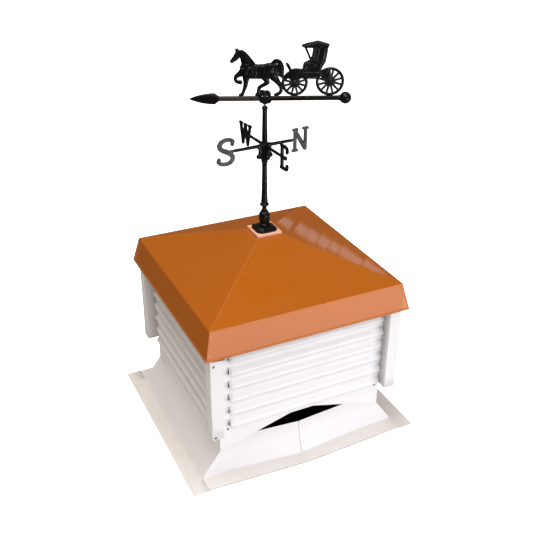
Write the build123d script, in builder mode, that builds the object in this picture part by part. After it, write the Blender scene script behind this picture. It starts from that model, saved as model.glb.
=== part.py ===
from build123d import *
import os
from math import cos, radians, sin, sqrt, tan

# Barn cupola: a square louvred sheet-metal housing under a low hipped roof, standing on a
# flashing base cut for the roof ridge, with a cast horse-and-buggy weathervane on the apex.
# Millimetres, +Z up, -Y the front.  The origin is at the centre of the footprint, on the
# underside of the base flange.

# ---- sheet-metal housing ---------------------------------------------------------------
sheet = 1.0                # every folded panel
bend = 4.0                 # centre-line radius of the folds
housing_width = 668.0      # over the louvred walls, square on plan
trim_standoff = 45.0       # how far the corner trims stand proud of the walls
trim_rise = 100.0          # foot of the trims above the flares
trim_below_eave = 30.8     # top of the trims below the roof fold
trim_gap = 0.3             # between a trim's returns and the wall behind

# ---- flashing base ---------------------------------------------------------------------
flare_height = 104.0       # where the walls stop and the flares start
flare_spread = 72.0        # run of the eave-side flares
side_lip = 62.0            # flat flange beyond the flare, eave sides
side_overrun = 71.0        # the eave-side flanges run this far past the walls, each end
upstand = 56.0             # base sheet lapped up behind the wall
end_lip_lift = 2.0         # the gable-side flanges lie over the eave-side ones
end_lip_corner = 67.0      # gable-side flange width at the corners
end_lip_centre = 54.0      # and at the seam
seam_bulge = 34.0          # how far the gable-side skirts swell at the seam
seam_offset = -12.0        # seam from the centre line, seen from outside
seam_rise = 27.0           # top of the seam above the flares
skirt_top_slope = 4.6      # degrees, top edge of a skirt, rising from the seam
seam_gap = 0.2
ridge_pitch = 15.5         # degrees, slope of the ridge cut in the gable-side walls
ridge_flat = 96.0          # level top of the ridge cut

# ---- louvres ---------------------------------------------------------------------------
blade_count = 6
blade_pitch = 56.5
first_blade = 26.0         # lower edge of the lowest blade above the ridge cut
blade_height = 30.0
blade_reach = 14.0         # how far the lower edge stands off the wall
blade_margin = 38.0        # plain sheet at the left of the blades, from outside
blade_end = 2.0            # plain sheet at the right

# ---- roof ------------------------------------------------------------------------------
eave_inset = 4.0           # the roof fold lies this far inside the trims' outer faces
eave_height = 658.8
roof_pitch = 20.0          # degrees
fascia_drop = 102.0
fascia_flare = 23.5        # how far the fascia leans out over its drop
roof_seat = 0.15           # between the walls' top edge and the roof

# ---- apex plate and the vane's roof mount ----------------------------------------------
plate_width = 98.0
plate_height = 12.0
plate_seat = 0.3
mount_margin = 7.0         # apex plate showing round the mount
mount_corner = 16.0
mount_edge = 5.0
mount_height = 15.0
clamp_radius = 23.0
clamp_height = 61.0
clamp_top_radius = 15.0

# ---- mast ------------------------------------------------------------------------------
neck_radius = 10.0
collar_radius = 17.0
collar_rise = 22.4         # middle of the collar above the clamp
mast_foot_radius = 13.0
mast_radius = 7.8
lower_mast_length = 167.5  # from the collar to the direction hub
hub_height = 68.0
hub_radius = 12.0
bracket_reach = 26.0
bracket_drop = 50.0
bracket_thickness = 6.0
upper_mast_radius = 8.6
upper_mast_length = 124.5  # from the hub to the middle of the knob
knob_radius = 10.5
spindle_radius = 3.2
spindle_fit = 0.05         # running clearance of the vane's socket on the spindle

# ---- direction arms and letters --------------------------------------------------------
arm_rise = 58.0            # arms above the foot of the hub
arm_turn = 3.3             # degrees the arms stand off the housing's axes
arm_depth = 10.0
arm_thickness = 7.0
letter_reach = 113.0       # from the mast axis to a letter's near stem
letter_height = 88.0
letter_thickness = 8.0
stroke = 10.5
joint_gap = 0.1            # between castings screwed or cast end to end

# ---- wind vane -------------------------------------------------------------------------
vane_turn = -22.7          # degrees, heading of the tail at rest
socket_gap = 5.0           # turning socket clear of the knob
socket_height = 44.0
socket_wall = 5.8
bar_rise = 20.0            # bar above the foot of the socket
bar_depth = 15.0
bar_thickness = 11.0
tip_reach = 257.5
head_length = 92.0
head_width = 38.0
head_thickness = 14.0
ball_beyond_axle = 55.7    # from the rear axle to the ball's middle
ball_radius = 20.5
scroll_width = 46.0
scroll_thickness = 12.0
bore_depth = 35.0
horse_thickness = 18.0
leg_thickness = 8.0
hoof_line = 56.0           # the front wheel stays behind this line
tail_end = (56, 70)        # lower end of the horse's tail, above the bar
tail_gap = 1.0             # between the tail and the front wheel
wheel_gap = 25.7           # between the two wheels
front_wheel_radius = 45.0
rear_wheel_radius = 49.0
wheel_thickness = 7.0
wheel_rim = 6.5
wheel_hub_radius = 9.0
spoke_width = 3.6
spoke_count = 12
buggy_thickness = 24.0
hood_thickness = 34.0
seat_gap = 0.3             # pieces standing on the bar or on each other

# ---- worked out from the above ---------------------------------------------------------
wall_face = housing_width / 2
trim_face_out = wall_face + trim_standoff
trim_inner = wall_face - sheet
trim_bottom = flare_height + trim_rise
trim_top = eave_height - trim_below_eave
upstand_face = wall_face - sheet
skirt_inner = upstand_face - sheet
flare_foot = wall_face + flare_spread
wall_bottom = flare_height + 2 * sheet
cut_height = wall_bottom + (wall_face - ridge_flat / 2) * tan(radians(ridge_pitch))
seam_height = flare_height + seam_rise
eave_half = trim_face_out - eave_inset
roof_rise = tan(radians(roof_pitch))
roof_skin = sheet / cos(radians(roof_pitch))
wall_top = eave_height + (eave_half - wall_face) * roof_rise - roof_skin - roof_seat
plate_bottom = eave_height + (eave_half - plate_width / 2 + sheet) * roof_rise + plate_seat
plate_top = plate_bottom + plate_height
mount_top = plate_top + mount_height
clamp_top = mount_top + clamp_height
collar_height = clamp_top + collar_rise
hub_bottom = collar_height + lower_mast_length
hub_top = hub_bottom + hub_height
arm_height = hub_bottom + arm_rise
knob_height = hub_top + upper_mast_length
knob_top = knob_height + 0.85 * knob_radius
socket_bottom = knob_top + socket_gap
socket_radius = spindle_radius + socket_wall
bar_height = socket_bottom + bar_rise
bar_top = bar_height + bar_depth / 2
tail_clearance = front_wheel_radius + stroke / 2 + tail_gap
front_wheel_reach = max(
    hoof_line + front_wheel_radius,
    tail_end[0] + sqrt(tail_clearance ** 2 - (tail_end[1] - front_wheel_radius) ** 2))
rear_wheel_reach = front_wheel_reach + front_wheel_radius + wheel_gap + rear_wheel_radius
ball_reach = rear_wheel_reach + ball_beyond_axle

os.makedirs("parts", exist_ok=True)


def face_plane(turn, distance=0.0):
    """Vertical plane facing outward: turn 0 is the front, 90 the right side."""
    across = (cos(radians(turn)), sin(radians(turn)), 0)
    outward = (sin(radians(turn)), -cos(radians(turn)), 0)
    origin = tuple(distance * value for value in outward)
    return Plane(origin=origin, x_dir=across, z_dir=outward)


def section_plane(turn, across):
    """Vertical plane square to a face, its x running outward and its y up."""
    along = (cos(radians(turn)), sin(radians(turn)), 0)
    outward = (sin(radians(turn)), -cos(radians(turn)), 0)
    origin = tuple(across * value for value in along)
    return Plane(origin=origin, x_dir=outward, z_dir=tuple(-value for value in along))


def upright_plane(turn, offset=0.0):
    """Vertical plane through the mast, its x along the heading and its y up."""
    heading = (cos(radians(turn)), sin(radians(turn)), 0)
    normal = (sin(radians(turn)), -cos(radians(turn)), 0)
    origin = tuple(offset * value for value in normal)
    return Plane(origin=origin, x_dir=heading, z_dir=normal)


def write(piece, name):
    piece.part.label = name
    export_step(piece.part, f"parts/{name}.step")


def roof_surface(out):
    """Height of the roof's upper face at a distance out from the axis."""
    return eave_height + (eave_half - out) * roof_rise


# ---- base: one folded panel on each eave side ------------------------------------------
def side_panel(name, turn):
    with BuildPart() as panel:
        with BuildSketch(section_plane(turn, skirt_inner)):
            with BuildLine():
                FilletPolyline(
                    (upstand_face - sheet / 2, flare_height + upstand),
                    (upstand_face - sheet / 2, flare_height),
                    (flare_foot, sheet / 2),
                    (flare_foot + side_lip, sheet / 2),
                    radius=bend)
            trace(line_width=sheet)
        extrude(amount=2 * skirt_inner)
        with BuildSketch(Plane.XY):
            with Locations(face_plane(turn, flare_foot + side_lip / 2).origin):
                Rectangle(side_lip - bend, housing_width + 2 * side_overrun)
        extrude(amount=sheet)
    write(panel, name)


side_panel("base_right_panel", 90)
side_panel("base_left_panel", 270)


# ---- base: two half skirts on each gable side ------------------------------------------
def half_skirt(name, turn, side):
    """One half of a gable-side skirt; side is -1 for the left half, 1 for the right."""
    seam = seam_offset + side * seam_gap
    foot = side * flare_foot
    top = seam_height + abs(side * upstand_face - seam) * tan(radians(skirt_top_slope))
    with BuildPart() as skirt:
        with BuildSketch(face_plane(turn, skirt_inner)):
            with BuildLine():
                Polyline(
                    (foot, end_lip_lift), (side * wall_face, flare_height),
                    (side * upstand_face, flare_height), (side * upstand_face, top),
                    (seam, seam_height), close=True)
            make_face()
        extrude(amount=sheet)
        swell = face_plane(turn, skirt_inner)
        corner = swell.from_local_coords((foot, end_lip_lift, 0))
        crown = swell.from_local_coords((seam, seam_height, 0))
        centre = swell.from_local_coords((seam, end_lip_lift, seam_bulge))
        run = corner - centre
        rise = crown - centre
        outward = rise.cross(run) if side < 0 else run.cross(rise)
        fold = Plane(origin=centre, x_dir=run, z_dir=outward)
        crown_on_fold = fold.to_local_coords(crown)
        with BuildSketch(fold):
            with BuildLine():
                Polyline((0, 0), (run.length, 0), (crown_on_fold.X, crown_on_fold.Y), close=True)
            make_face()
        extrude(amount=sheet)
        with BuildSketch(Plane.XY.offset(end_lip_lift)):
            with BuildLine():
                inner = [swell.from_local_coords(point) for point in (
                    (foot - side * seam_gap, end_lip_lift, 0),
                    (seam, end_lip_lift, seam_bulge),
                    (seam, end_lip_lift, seam_bulge + end_lip_centre + sheet),
                    (foot - side * seam_gap, end_lip_lift, end_lip_corner + sheet))]
                Polyline(*[(point.X, point.Y) for point in inner], close=True)
            make_face()
        extrude(amount=sheet)
    write(skirt, name)


for end, turn in (("front", 0), ("back", 180)):
    half_skirt(f"{end}_left_skirt", turn, -1)
    half_skirt(f"{end}_right_skirt", turn, 1)


# ---- four louvred walls, the two over the ridge cut to its pitch -----------------------
def louvred_wall(name, turn, half_width, ridge_cut):
    blade_right = wall_face - blade_end
    blade_left = -wall_face + blade_margin
    with BuildPart() as wall:
        with BuildSketch(face_plane(turn, wall_face - sheet)):
            with BuildLine():
                if ridge_cut:
                    Polyline(
                        (-half_width, wall_bottom), (-ridge_flat / 2, cut_height),
                        (ridge_flat / 2, cut_height), (half_width, wall_bottom),
                        (half_width, wall_top), (-half_width, wall_top), close=True)
                else:
                    Polyline(
                        (-half_width, wall_bottom), (half_width, wall_bottom),
                        (half_width, wall_top), (-half_width, wall_top), close=True)
            make_face()
            for course in range(blade_count):
                middle = cut_height + first_blade + blade_height / 2 + course * blade_pitch
                with Locations(((blade_left + blade_right) / 2, middle)):
                    Rectangle(blade_right - blade_left, blade_height, mode=Mode.SUBTRACT)
        extrude(amount=sheet)
        with BuildSketch(section_plane(turn, blade_right)):
            for course in range(blade_count):
                lip = cut_height + first_blade + course * blade_pitch
                with BuildLine():
                    Spline(
                        (wall_face - sheet / 2, lip + blade_height + sheet),
                        (wall_face + blade_reach * 0.62, lip + blade_height * 0.45),
                        (wall_face + blade_reach - sheet / 2, lip),
                        tangents=((0.25, -1), (0.1, -1)))
                trace(line_width=sheet)
        extrude(amount=blade_right - blade_left)
    write(wall, name)


louvred_wall("front_louvred_wall", 0, wall_face, True)
louvred_wall("right_louvred_wall", 90, upstand_face, False)
louvred_wall("back_louvred_wall", 180, wall_face, True)
louvred_wall("left_louvred_wall", 270, upstand_face, False)


# ---- folded box trims down the four corners --------------------------------------------
def corner_trim(name, turn):
    back = wall_face + trim_gap
    with BuildPart() as trim:
        with BuildSketch(Plane(origin=(0, 0, trim_bottom), x_dir=face_plane(turn).x_dir)):
            with BuildLine():
                middle = sheet / 2
                Polyline(
                    (trim_inner + middle, back), (trim_inner + middle, trim_face_out - middle),
                    (trim_face_out - middle, trim_face_out - middle),
                    (trim_face_out - middle, trim_inner + middle), (back, trim_inner + middle))
            trace(line_width=sheet)
        extrude(amount=trim_top - trim_bottom)
    write(trim, name)


for name, turn in (("back_right", 0), ("back_left", 90), ("front_left", 180), ("front_right", 270)):
    corner_trim(f"{name}_corner_trim", turn)


# ---- hipped roof, each slope folded down into its fascia and mitred at the corners -----
def roof_panel(name, turn):
    top = plate_width / 2 - 3 * sheet
    reach = 2 * eave_half
    hips = [(reach * sin(radians(hip)), -reach * cos(radians(hip))) for hip in (turn - 45, turn + 45)]
    with BuildPart() as panel:
        with BuildSketch(section_plane(turn, reach)):
            with BuildLine():
                FilletPolyline(
                    (top, roof_surface(top) - sheet / 2),
                    (eave_half - sheet / 2, eave_height - sheet / 2),
                    (eave_half + fascia_flare - sheet / 2, eave_height - fascia_drop),
                    radius=bend)
            trace(line_width=sheet)
        extrude(amount=2 * reach)
        with BuildSketch(Plane.XY.offset(eave_height - 2 * fascia_drop)):
            with BuildLine():
                Polyline((0, 0), *hips, close=True)
            make_face()
        extrude(amount=eave_height, mode=Mode.INTERSECT)
    write(panel, name)


for name, turn in (("front", 0), ("right", 90), ("back", 180), ("left", 270)):
    roof_panel(f"{name}_roof_panel", turn)


# ---- square apex plate with turned-down edges ------------------------------------------
with BuildPart() as apex_plate:
    with BuildSketch(Plane.XY.offset(plate_bottom)):
        Rectangle(plate_width, plate_width)
    extrude(amount=plate_height)
    with BuildSketch(Plane.XY.offset(plate_bottom)):
        Rectangle(plate_width - 2 * sheet, plate_width - 2 * sheet)
    extrude(amount=plate_height - sheet, mode=Mode.SUBTRACT)
write(apex_plate, "apex_plate")


# ---- cast roof mount and the clamp that grips the mast ---------------------------------
with BuildPart() as vane_mount:
    with BuildSketch(Plane.XY.offset(plate_top)) as mount_outline:
        Rectangle(plate_width - 2 * mount_margin, plate_width - 2 * mount_margin)
        chamfer(mount_outline.vertices(), length=mount_corner)
    extrude(amount=mount_edge)
    with BuildSketch(Plane.XY.offset(plate_top + mount_edge)) as mount_shoulder:
        Rectangle(plate_width - 2 * mount_margin, plate_width - 2 * mount_margin)
        chamfer(mount_shoulder.vertices(), length=mount_corner)
    with BuildSketch(Plane.XY.offset(mount_top)) as mount_crown:
        Rectangle(2.2 * clamp_radius, 2.2 * clamp_radius)
        chamfer(mount_crown.vertices(), length=mount_corner)
    loft()
write(vane_mount, "vane_mount")

with BuildPart() as mast_clamp:
    with BuildSketch(Plane.XZ):
        with BuildLine():
            Line((0, mount_top), (0.75 * clamp_radius, mount_top))
            Spline(
                (0.75 * clamp_radius, mount_top), (clamp_radius, mount_top + 0.55 * clamp_height),
                (clamp_top_radius, clamp_top), tangents=((0.3, 1), (-1, 1)))
            Line((clamp_top_radius, clamp_top), (0, clamp_top))
            Line((0, clamp_top), (0, mount_top))
        make_face()
    revolve(axis=Axis.Z)
write(mast_clamp, "mast_clamp")


# ---- lower mast: neck, ringed collar and a tapered shaft -------------------------------
with BuildPart() as lower_mast:
    collar_half = 6.0
    with BuildSketch(Plane.XZ):
        with BuildLine():
            Polyline(
                (neck_radius, collar_height - 1.5 * collar_half), (neck_radius, clamp_top),
                (0, clamp_top), (0, hub_bottom), (mast_radius, hub_bottom),
                (mast_foot_radius, collar_height + 2 * collar_half),
                (mast_foot_radius, collar_height + collar_half))
            ThreePointArc(
                (mast_foot_radius, collar_height + collar_half), (collar_radius, collar_height),
                (neck_radius, collar_height - 1.5 * collar_half))
        make_face()
    revolve(axis=Axis.Z)
write(lower_mast, "lower_mast")


# ---- direction hub: a sleeve with a scrolled bracket under each arm --------------------
with BuildPart() as direction_hub:
    with BuildSketch(Plane.XY.offset(hub_bottom)):
        Circle(hub_radius)
    extrude(amount=hub_height)
    for quarter in range(4):
        scroll = bracket_reach / 4
        under_arm = arm_height - arm_depth / 2
        foot = under_arm - bracket_drop
        with BuildSketch(upright_plane(arm_turn + 90 * quarter, -bracket_thickness / 2)):
            with BuildLine():
                Line((0, under_arm), (bracket_reach, under_arm))
                Spline(
                    (bracket_reach, under_arm), (hub_radius + 4, under_arm - 0.3 * bracket_drop),
                    (bracket_reach - scroll, foot + 2 * scroll), tangents=((-1, -0.2), (1, -1)))
                Line((bracket_reach - scroll, foot + 2 * scroll), (0, foot))
                Line((0, foot), (0, under_arm))
            make_face()
            with Locations((bracket_reach - scroll, foot + 1.6 * scroll)):
                Circle(scroll)
        extrude(amount=bracket_thickness)
write(direction_hub, "direction_hub")


# ---- upper mast with a turned knob, and the spindle that carries the vane --------------
with BuildPart() as upper_mast:
    with BuildSketch(Plane.XZ):
        with BuildLine():
            neck = spindle_radius + 2
            Polyline(
                (neck, knob_top), (0, knob_top), (0, hub_top), (upper_mast_radius, hub_top),
                (mast_radius, knob_height - knob_radius))
            ThreePointArc(
                (mast_radius, knob_height - knob_radius), (knob_radius, knob_height),
                (neck, knob_top))
        make_face()
    revolve(axis=Axis.Z)
write(upper_mast, "upper_mast")

with BuildPart() as spindle:
    with BuildSketch(Plane.XY.offset(knob_top)):
        Circle(spindle_radius)
    extrude(amount=socket_gap + bore_depth - seat_gap)
write(spindle, "spindle")


# ---- four direction arms ---------------------------------------------------------------
def direction_arm(name, quarter, reach):
    near = hub_radius + joint_gap
    with BuildPart() as arm:
        with BuildSketch(upright_plane(arm_turn + 90 * quarter, -arm_thickness / 2)):
            with BuildLine():
                Polyline(
                    (near, arm_height - arm_depth / 2), (reach, arm_height - arm_depth * 0.4),
                    (reach, arm_height + arm_depth * 0.4), (near, arm_height + arm_depth / 2),
                    close=True)
            make_face()
        extrude(amount=arm_thickness)
    write(arm, name)


direction_arm("north_arm", 0, letter_reach - joint_gap)
direction_arm("west_arm", 1, letter_reach - joint_gap)
direction_arm("south_arm", 2, letter_reach + stroke - joint_gap)
direction_arm("east_arm", 3, letter_reach - joint_gap)


# ---- serifed direction letters, each standing in the plane of its arm ------------------
def letter(name, turn, middle, strokes, curves=(), serifs=()):
    """Strokes and serifs are placed about the letter's middle; x to the right, y up."""
    def placed(points):
        return [(middle + x, arm_height + y) for x, y in points]

    with BuildPart() as plate:
        with BuildSketch(upright_plane(turn, -letter_thickness / 2)):
            for width, points in strokes:
                with BuildLine():
                    Polyline(*placed(points))
                trace(line_width=width)
            for width, points in curves:
                with BuildLine():
                    Spline(*placed(points))
                trace(line_width=width)
            for place, size in serifs:
                with Locations(*placed([place])):
                    RectangleRounded(*size, radius=min(size) / 2.5)
        extrude(amount=letter_thickness)
    write(plate, name)


half = letter_height / 2
thin = 0.75 * stroke
serif = (2.2 * stroke, 0.7 * stroke)
letter("letter_n", arm_turn, letter_reach + 32, strokes=(
    (thin, ((-32 + thin / 2, -half), (-32 + thin / 2, half))),
    (stroke, ((-32 + thin / 2, half - 4), (28, -half + 4))),
    (thin, ((28, -half), (28, half)))), serifs=(
    ((-29, half - 3), serif), ((-28, -half + 3), serif), ((28, half - 3), serif)))
letter("letter_s", arm_turn, -letter_reach - 39, strokes=(
    (arm_depth * 0.8, ((0, 0), (39 - stroke, 0))),), curves=(
    (stroke, ((27, 40), (2, half), (-27, 27), (0, 2), (28, -27), (0, -half), (-30, -34))),),
    serifs=(((27, 33), (0.9 * stroke, 2.2 * stroke)), ((-31, -30), (0.9 * stroke, 2.4 * stroke))))
letter("letter_w", arm_turn - 90, -letter_reach - 34, strokes=(
    (stroke, ((-38, half), (-19, -half + 4))), (thin, ((-19, -half + 4), (0, half))),
    (stroke, ((0, half), (20, -half + 4))), (thin, ((20, -half + 4), (37, half))),
    (arm_depth * 0.8, ((28, 0), (34, 0)))), serifs=(
    ((-37, half - 2), serif), ((0, half - 2), serif), ((35, half - 2), serif)))
letter("letter_e", arm_turn - 90, letter_reach + 25, strokes=(
    (stroke, ((-25 + stroke / 2, -half), (-25 + stroke / 2, half))),
    (thin, ((-25, half - 4), (22, half - 4))), (thin, ((-25, -half + 4), (22, -half + 4))),
    (arm_depth * 0.8, ((-25, 0), (6, 0)))), serifs=(
    ((21, half - 11), (0.8 * stroke, 2 * stroke)), ((21, -half + 11), (0.8 * stroke, 2 * stroke)),
    ((6, 0), (0.8 * stroke, 1.6 * stroke))))


# ---- wind vane: socket that turns on the spindle, with a pierced scroll round it -------
def vane_plane(thickness):
    return upright_plane(vane_turn, -thickness / 2)


with BuildPart() as vane_socket:
    with BuildSketch(Plane.XY.offset(socket_bottom)):
        Circle(socket_radius)
    extrude(amount=socket_height)
    with BuildSketch(vane_plane(scroll_thickness)):
        with Locations((0, socket_bottom + scroll_width / 2)):
            Rectangle(scroll_width / sqrt(2), scroll_width / sqrt(2), rotation=45)
        for end in (-1, 1):
            with Locations((end * (socket_radius + 3 + scroll_width / 2), bar_height)):
                Rectangle(scroll_width, bar_depth + 2 * joint_gap, mode=Mode.SUBTRACT)
    extrude(amount=scroll_thickness)
    with BuildSketch(Plane.XY.offset(socket_bottom)):
        Circle(spindle_radius + spindle_fit)
    extrude(amount=bore_depth, mode=Mode.SUBTRACT)
write(vane_socket, "vane_socket")


# ---- wind vane: the two halves of the bar, the arrow head and the tail ball ------------
def vane_bar(name, near, far):
    with BuildPart() as bar:
        with BuildSketch(Plane(
                origin=upright_plane(vane_turn).from_local_coords((near, bar_height, 0)),
                x_dir=upright_plane(vane_turn).z_dir, z_dir=upright_plane(vane_turn).x_dir)):
            RectangleRounded(bar_thickness, bar_depth, radius=bar_thickness / 3)
        extrude(amount=far - near)
    write(bar, name)


head_base = tip_reach - head_length
ball_neck = ball_reach - 1.4 * ball_radius
vane_bar("vane_bar_front", -head_base + joint_gap, -socket_radius - 3 - joint_gap)
vane_bar("vane_bar_rear", socket_radius + 3 + joint_gap, ball_neck - joint_gap)

with BuildPart() as arrow_head:
    with BuildSketch(vane_plane(head_thickness)):
        with BuildLine():
            shoulder = head_base + 0.1 * head_length
            Spline(
                (-tip_reach, bar_height), (-0.5 * (tip_reach + shoulder), bar_height + 0.42 * head_width),
                (-shoulder, bar_height + head_width / 2))
            Line((-shoulder, bar_height + head_width / 2), (-head_base, bar_height + bar_depth / 2))
            Line((-head_base, bar_height + bar_depth / 2), (-head_base, bar_height))
            mirror(about=Plane.XZ.offset(-bar_height))
        make_face()
    extrude(amount=head_thickness)
write(arrow_head, "arrow_head")

with BuildPart() as tail_ball:
    with BuildSketch(upright_plane(vane_turn)) as ball_section:
        with BuildLine():
            Polyline(
                (ball_reach + ball_radius, bar_height), (ball_neck, bar_height),
                (ball_neck, bar_height + bar_depth / 2),
                (ball_reach - 0.8 * ball_radius, bar_height + 0.6 * ball_radius))
            ThreePointArc(
                (ball_reach - 0.8 * ball_radius, bar_height + 0.6 * ball_radius),
                (ball_reach, bar_height + ball_radius), (ball_reach + ball_radius, bar_height))
        make_face()
    revolve(axis=Axis(
        upright_plane(vane_turn).from_local_coords((0, bar_height, 0)), upright_plane(vane_turn).x_dir))
write(tail_ball, "tail_ball")


# ---- wind vane: the trotting horse, outlined above the bar -----------------------------
def above_bar(*points):
    return [(along, bar_top + up) for along, up in points]


with BuildPart() as horse:
    with BuildSketch(vane_plane(horse_thickness)):
        with BuildLine():
            Polyline(*above_bar((-116, 121), (-100, 150), (-97, 161)))
            Spline(*above_bar(
                (-97, 161), (-80, 154), (-61, 140), (-38, 112), (-17, 107.5), (19, 115), (33, 117),
                (47, 98), (40, 66)))
            Spline(*above_bar((40, 66), (20, 62), (-30, 61), (-60, 63), (-84, 84), (-79, 122)))
            Spline(*above_bar((-79, 122), (-92, 122), (-110, 113), (-116, 121)))
        make_face()
    extrude(amount=horse_thickness)
    with BuildSketch(vane_plane(leg_thickness)):
        with BuildLine():
            Spline(*above_bar((30, 116), (42, 123), (54, 114), (59, 95), tail_end))
        trace(line_width=stroke)
        for width, leg in (
                (12, ((-66, 70), (-68, 36), (-78, 4))),
                (9, ((-78, 78), (-97, 73), (-100, 60), (-96, 51), (-82, 49))),
                (11, ((0, 70), (9, 50), (-14, 36), (-25, 20), (-26, 4))),
                (9, ((36, 72), (50, 42), (54, 18), (38, 4)))):
            with BuildLine():
                Polyline(*above_bar(*leg))
            trace(line_width=width)
        for hoof in (-79, -26, 36):
            with Locations(*above_bar((hoof, 3 + seat_gap))):
                Rectangle(15, 6)
    extrude(amount=leg_thickness)
write(horse, "horse")


# ---- wind vane: the buggy's spoked wheels ----------------------------------------------
def wheel(name, reach, radius):
    middle = above_bar((reach, radius + seat_gap))[0]
    with BuildPart() as rim:
        with BuildSketch(vane_plane(wheel_thickness)):
            with Locations(middle):
                Circle(radius)
                Circle(radius - wheel_rim, mode=Mode.SUBTRACT)
                Circle(wheel_hub_radius)
            for spoke in range(spoke_count):
                angle = 360 / spoke_count * (spoke + 0.5)
                length = radius - wheel_rim / 2
                with Locations((
                        middle[0] + length / 2 * cos(radians(angle)),
                        middle[1] + length / 2 * sin(radians(angle)))):
                    Rectangle(length, spoke_width, rotation=angle)
        extrude(amount=wheel_thickness)
    write(rim, name)


wheel("front_wheel", front_wheel_reach, front_wheel_radius)
wheel("rear_wheel", rear_wheel_reach, rear_wheel_radius)


# ---- wind vane: the buggy's body, forked over its wheels, and its folding hood ---------
def from_axle(*points):
    """Points measured from above the front axle."""
    return above_bar(*[(front_wheel_reach + along, up) for along, up in points])


seat_front = (49, 121)
seat_rear = (92, 98)
with BuildPart() as buggy_body:
    with BuildSketch(vane_plane(buggy_thickness)):
        with BuildLine():
            Polyline(*from_axle(
                (-37, 76), (-31, 84), (-15, 89), (24, 87), (27, 106), (34, 116), seat_front, seat_rear,
                (91, 86), (105, 76), (121, 60), (109, 52), (83, 61), (38, 61), (23, 66), (17, 52),
                (-15, 52), (-37, 68)), close=True)
        make_face()
    extrude(amount=buggy_thickness)
    with BuildSketch(vane_plane(leg_thickness)):
        with BuildLine():
            Spline(*from_axle((-27, 113), (-18, 104), (-12, 84)))
        trace(line_width=spoke_width * 1.8)
    extrude(amount=leg_thickness)
    with BuildSketch(vane_plane(wheel_thickness + 2 * joint_gap)):
        for reach, radius in (
                (front_wheel_reach, front_wheel_radius), (rear_wheel_reach, rear_wheel_radius)):
            with Locations(*above_bar((reach, radius + seat_gap))):
                Circle(radius + seat_gap)
    extrude(amount=wheel_thickness + 2 * joint_gap, mode=Mode.SUBTRACT)
write(buggy_body, "buggy_body")

with BuildPart() as buggy_hood:
    with BuildSketch(vane_plane(hood_thickness)):
        with BuildLine():
            Polyline(*from_axle(
                (24, 168), (51, 178), (76, 185.4), (99, 178), (111, 172), (107, 150), (105, 128),
                (seat_rear[0], seat_rear[1] + seat_gap), (seat_front[0] + 8, seat_front[1] - 4 + seat_gap),
                (57, 132), (59.5, 166), (25, 164)), close=True)
        make_face()
        with BuildLine():
            Polyline(*from_axle((31, 167), (seat_front[0], seat_front[1] + 3)))
        trace(line_width=spoke_width)
    extrude(amount=hood_thickness)
write(buggy_hood, "buggy_hood")
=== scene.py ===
import math

import bmesh
import bpy
from mathutils import Matrix, Quaternion, Vector, noise as grain


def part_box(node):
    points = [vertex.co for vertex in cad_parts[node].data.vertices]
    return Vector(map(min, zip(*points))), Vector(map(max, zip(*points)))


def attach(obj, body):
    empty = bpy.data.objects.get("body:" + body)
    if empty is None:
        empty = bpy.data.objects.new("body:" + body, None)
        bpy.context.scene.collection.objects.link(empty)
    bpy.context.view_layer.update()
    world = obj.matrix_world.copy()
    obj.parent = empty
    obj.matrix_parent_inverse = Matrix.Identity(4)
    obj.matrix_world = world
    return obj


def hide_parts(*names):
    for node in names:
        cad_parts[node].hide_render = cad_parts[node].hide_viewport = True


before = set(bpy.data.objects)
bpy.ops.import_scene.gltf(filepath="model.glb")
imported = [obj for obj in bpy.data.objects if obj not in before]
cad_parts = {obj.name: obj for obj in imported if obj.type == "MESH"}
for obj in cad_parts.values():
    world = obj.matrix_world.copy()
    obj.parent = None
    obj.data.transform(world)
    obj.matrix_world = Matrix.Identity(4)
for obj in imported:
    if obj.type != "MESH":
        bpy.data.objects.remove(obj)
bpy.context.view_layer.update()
scene = bpy.context.scene
scene.view_settings.view_transform = "Standard"


# ---- The studio ------------------------------------------------------------------------
# A pale floor that runs out to a white surround, soft boxes above in front, overhead and low
# in front, and the panes of a window behind on the right, which show in the glossy roof.
object_middle = (0, 0, 0.5)
window_middle = (2.75, 3.2)
window_run = (0.8, -0.6)
pane_power = 4.3
right_back_above = (0.20, 0.45, 1.05)
left_front_below = (0.26, 0.32, 0.0)
glossy_loss = -0.55
floor_size = 30
shaded_half = 0.36
floor_glossy_loss = -0.85


def soft_box(name, place, aim, size, power, colour):
    """A rectangular lamp that the camera doesn't see."""
    lamp = bpy.data.lights.new(name, "AREA")
    lamp.shape = "RECTANGLE"
    lamp.size, lamp.size_y = size
    lamp.energy = power
    lamp.color = colour
    box = bpy.data.objects.new(name, lamp)
    box.location = place
    box.rotation_euler = (Vector(aim) - Vector(place)).to_track_quat("-Z", "Y").to_euler()
    box.visible_camera = False
    scene.collection.objects.link(box)


def reckon(tree, operation, *values, kind="ShaderNodeMath", out="Value"):
    """A math node fed by sockets or plain values."""
    node = tree.nodes.new(kind)
    node.operation = operation
    for place, value in enumerate(values):
        if isinstance(value, bpy.types.NodeSocket):
            tree.links.new(value, node.inputs[place])
        else:
            node.inputs[place].default_value = value
    return node.outputs[out]


def reckon_vector(tree, operation, *values, out="Vector"):
    """A vector math node fed by sockets or plain vectors."""
    return reckon(tree, operation, *values, kind="ShaderNodeVectorMath", out=out)


def parts_of(tree, vector):
    """The X, Y and Z of a vector socket."""
    node = tree.nodes.new("ShaderNodeSeparateXYZ")
    tree.links.new(vector, node.inputs["Vector"])
    return node.outputs


def blend(tree, factor, first, second):
    """A colour mix of two colours or sockets by a socket."""
    node = tree.nodes.new("ShaderNodeMix")
    node.data_type = "RGBA"
    tree.links.new(factor, node.inputs["Factor"])
    for place, value in ((6, first), (7, second)):
        if isinstance(value, tuple):
            node.inputs[place].default_value = (*value, 1)
        else:
            tree.links.new(value, node.inputs[place])
    return node.outputs[2]


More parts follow.
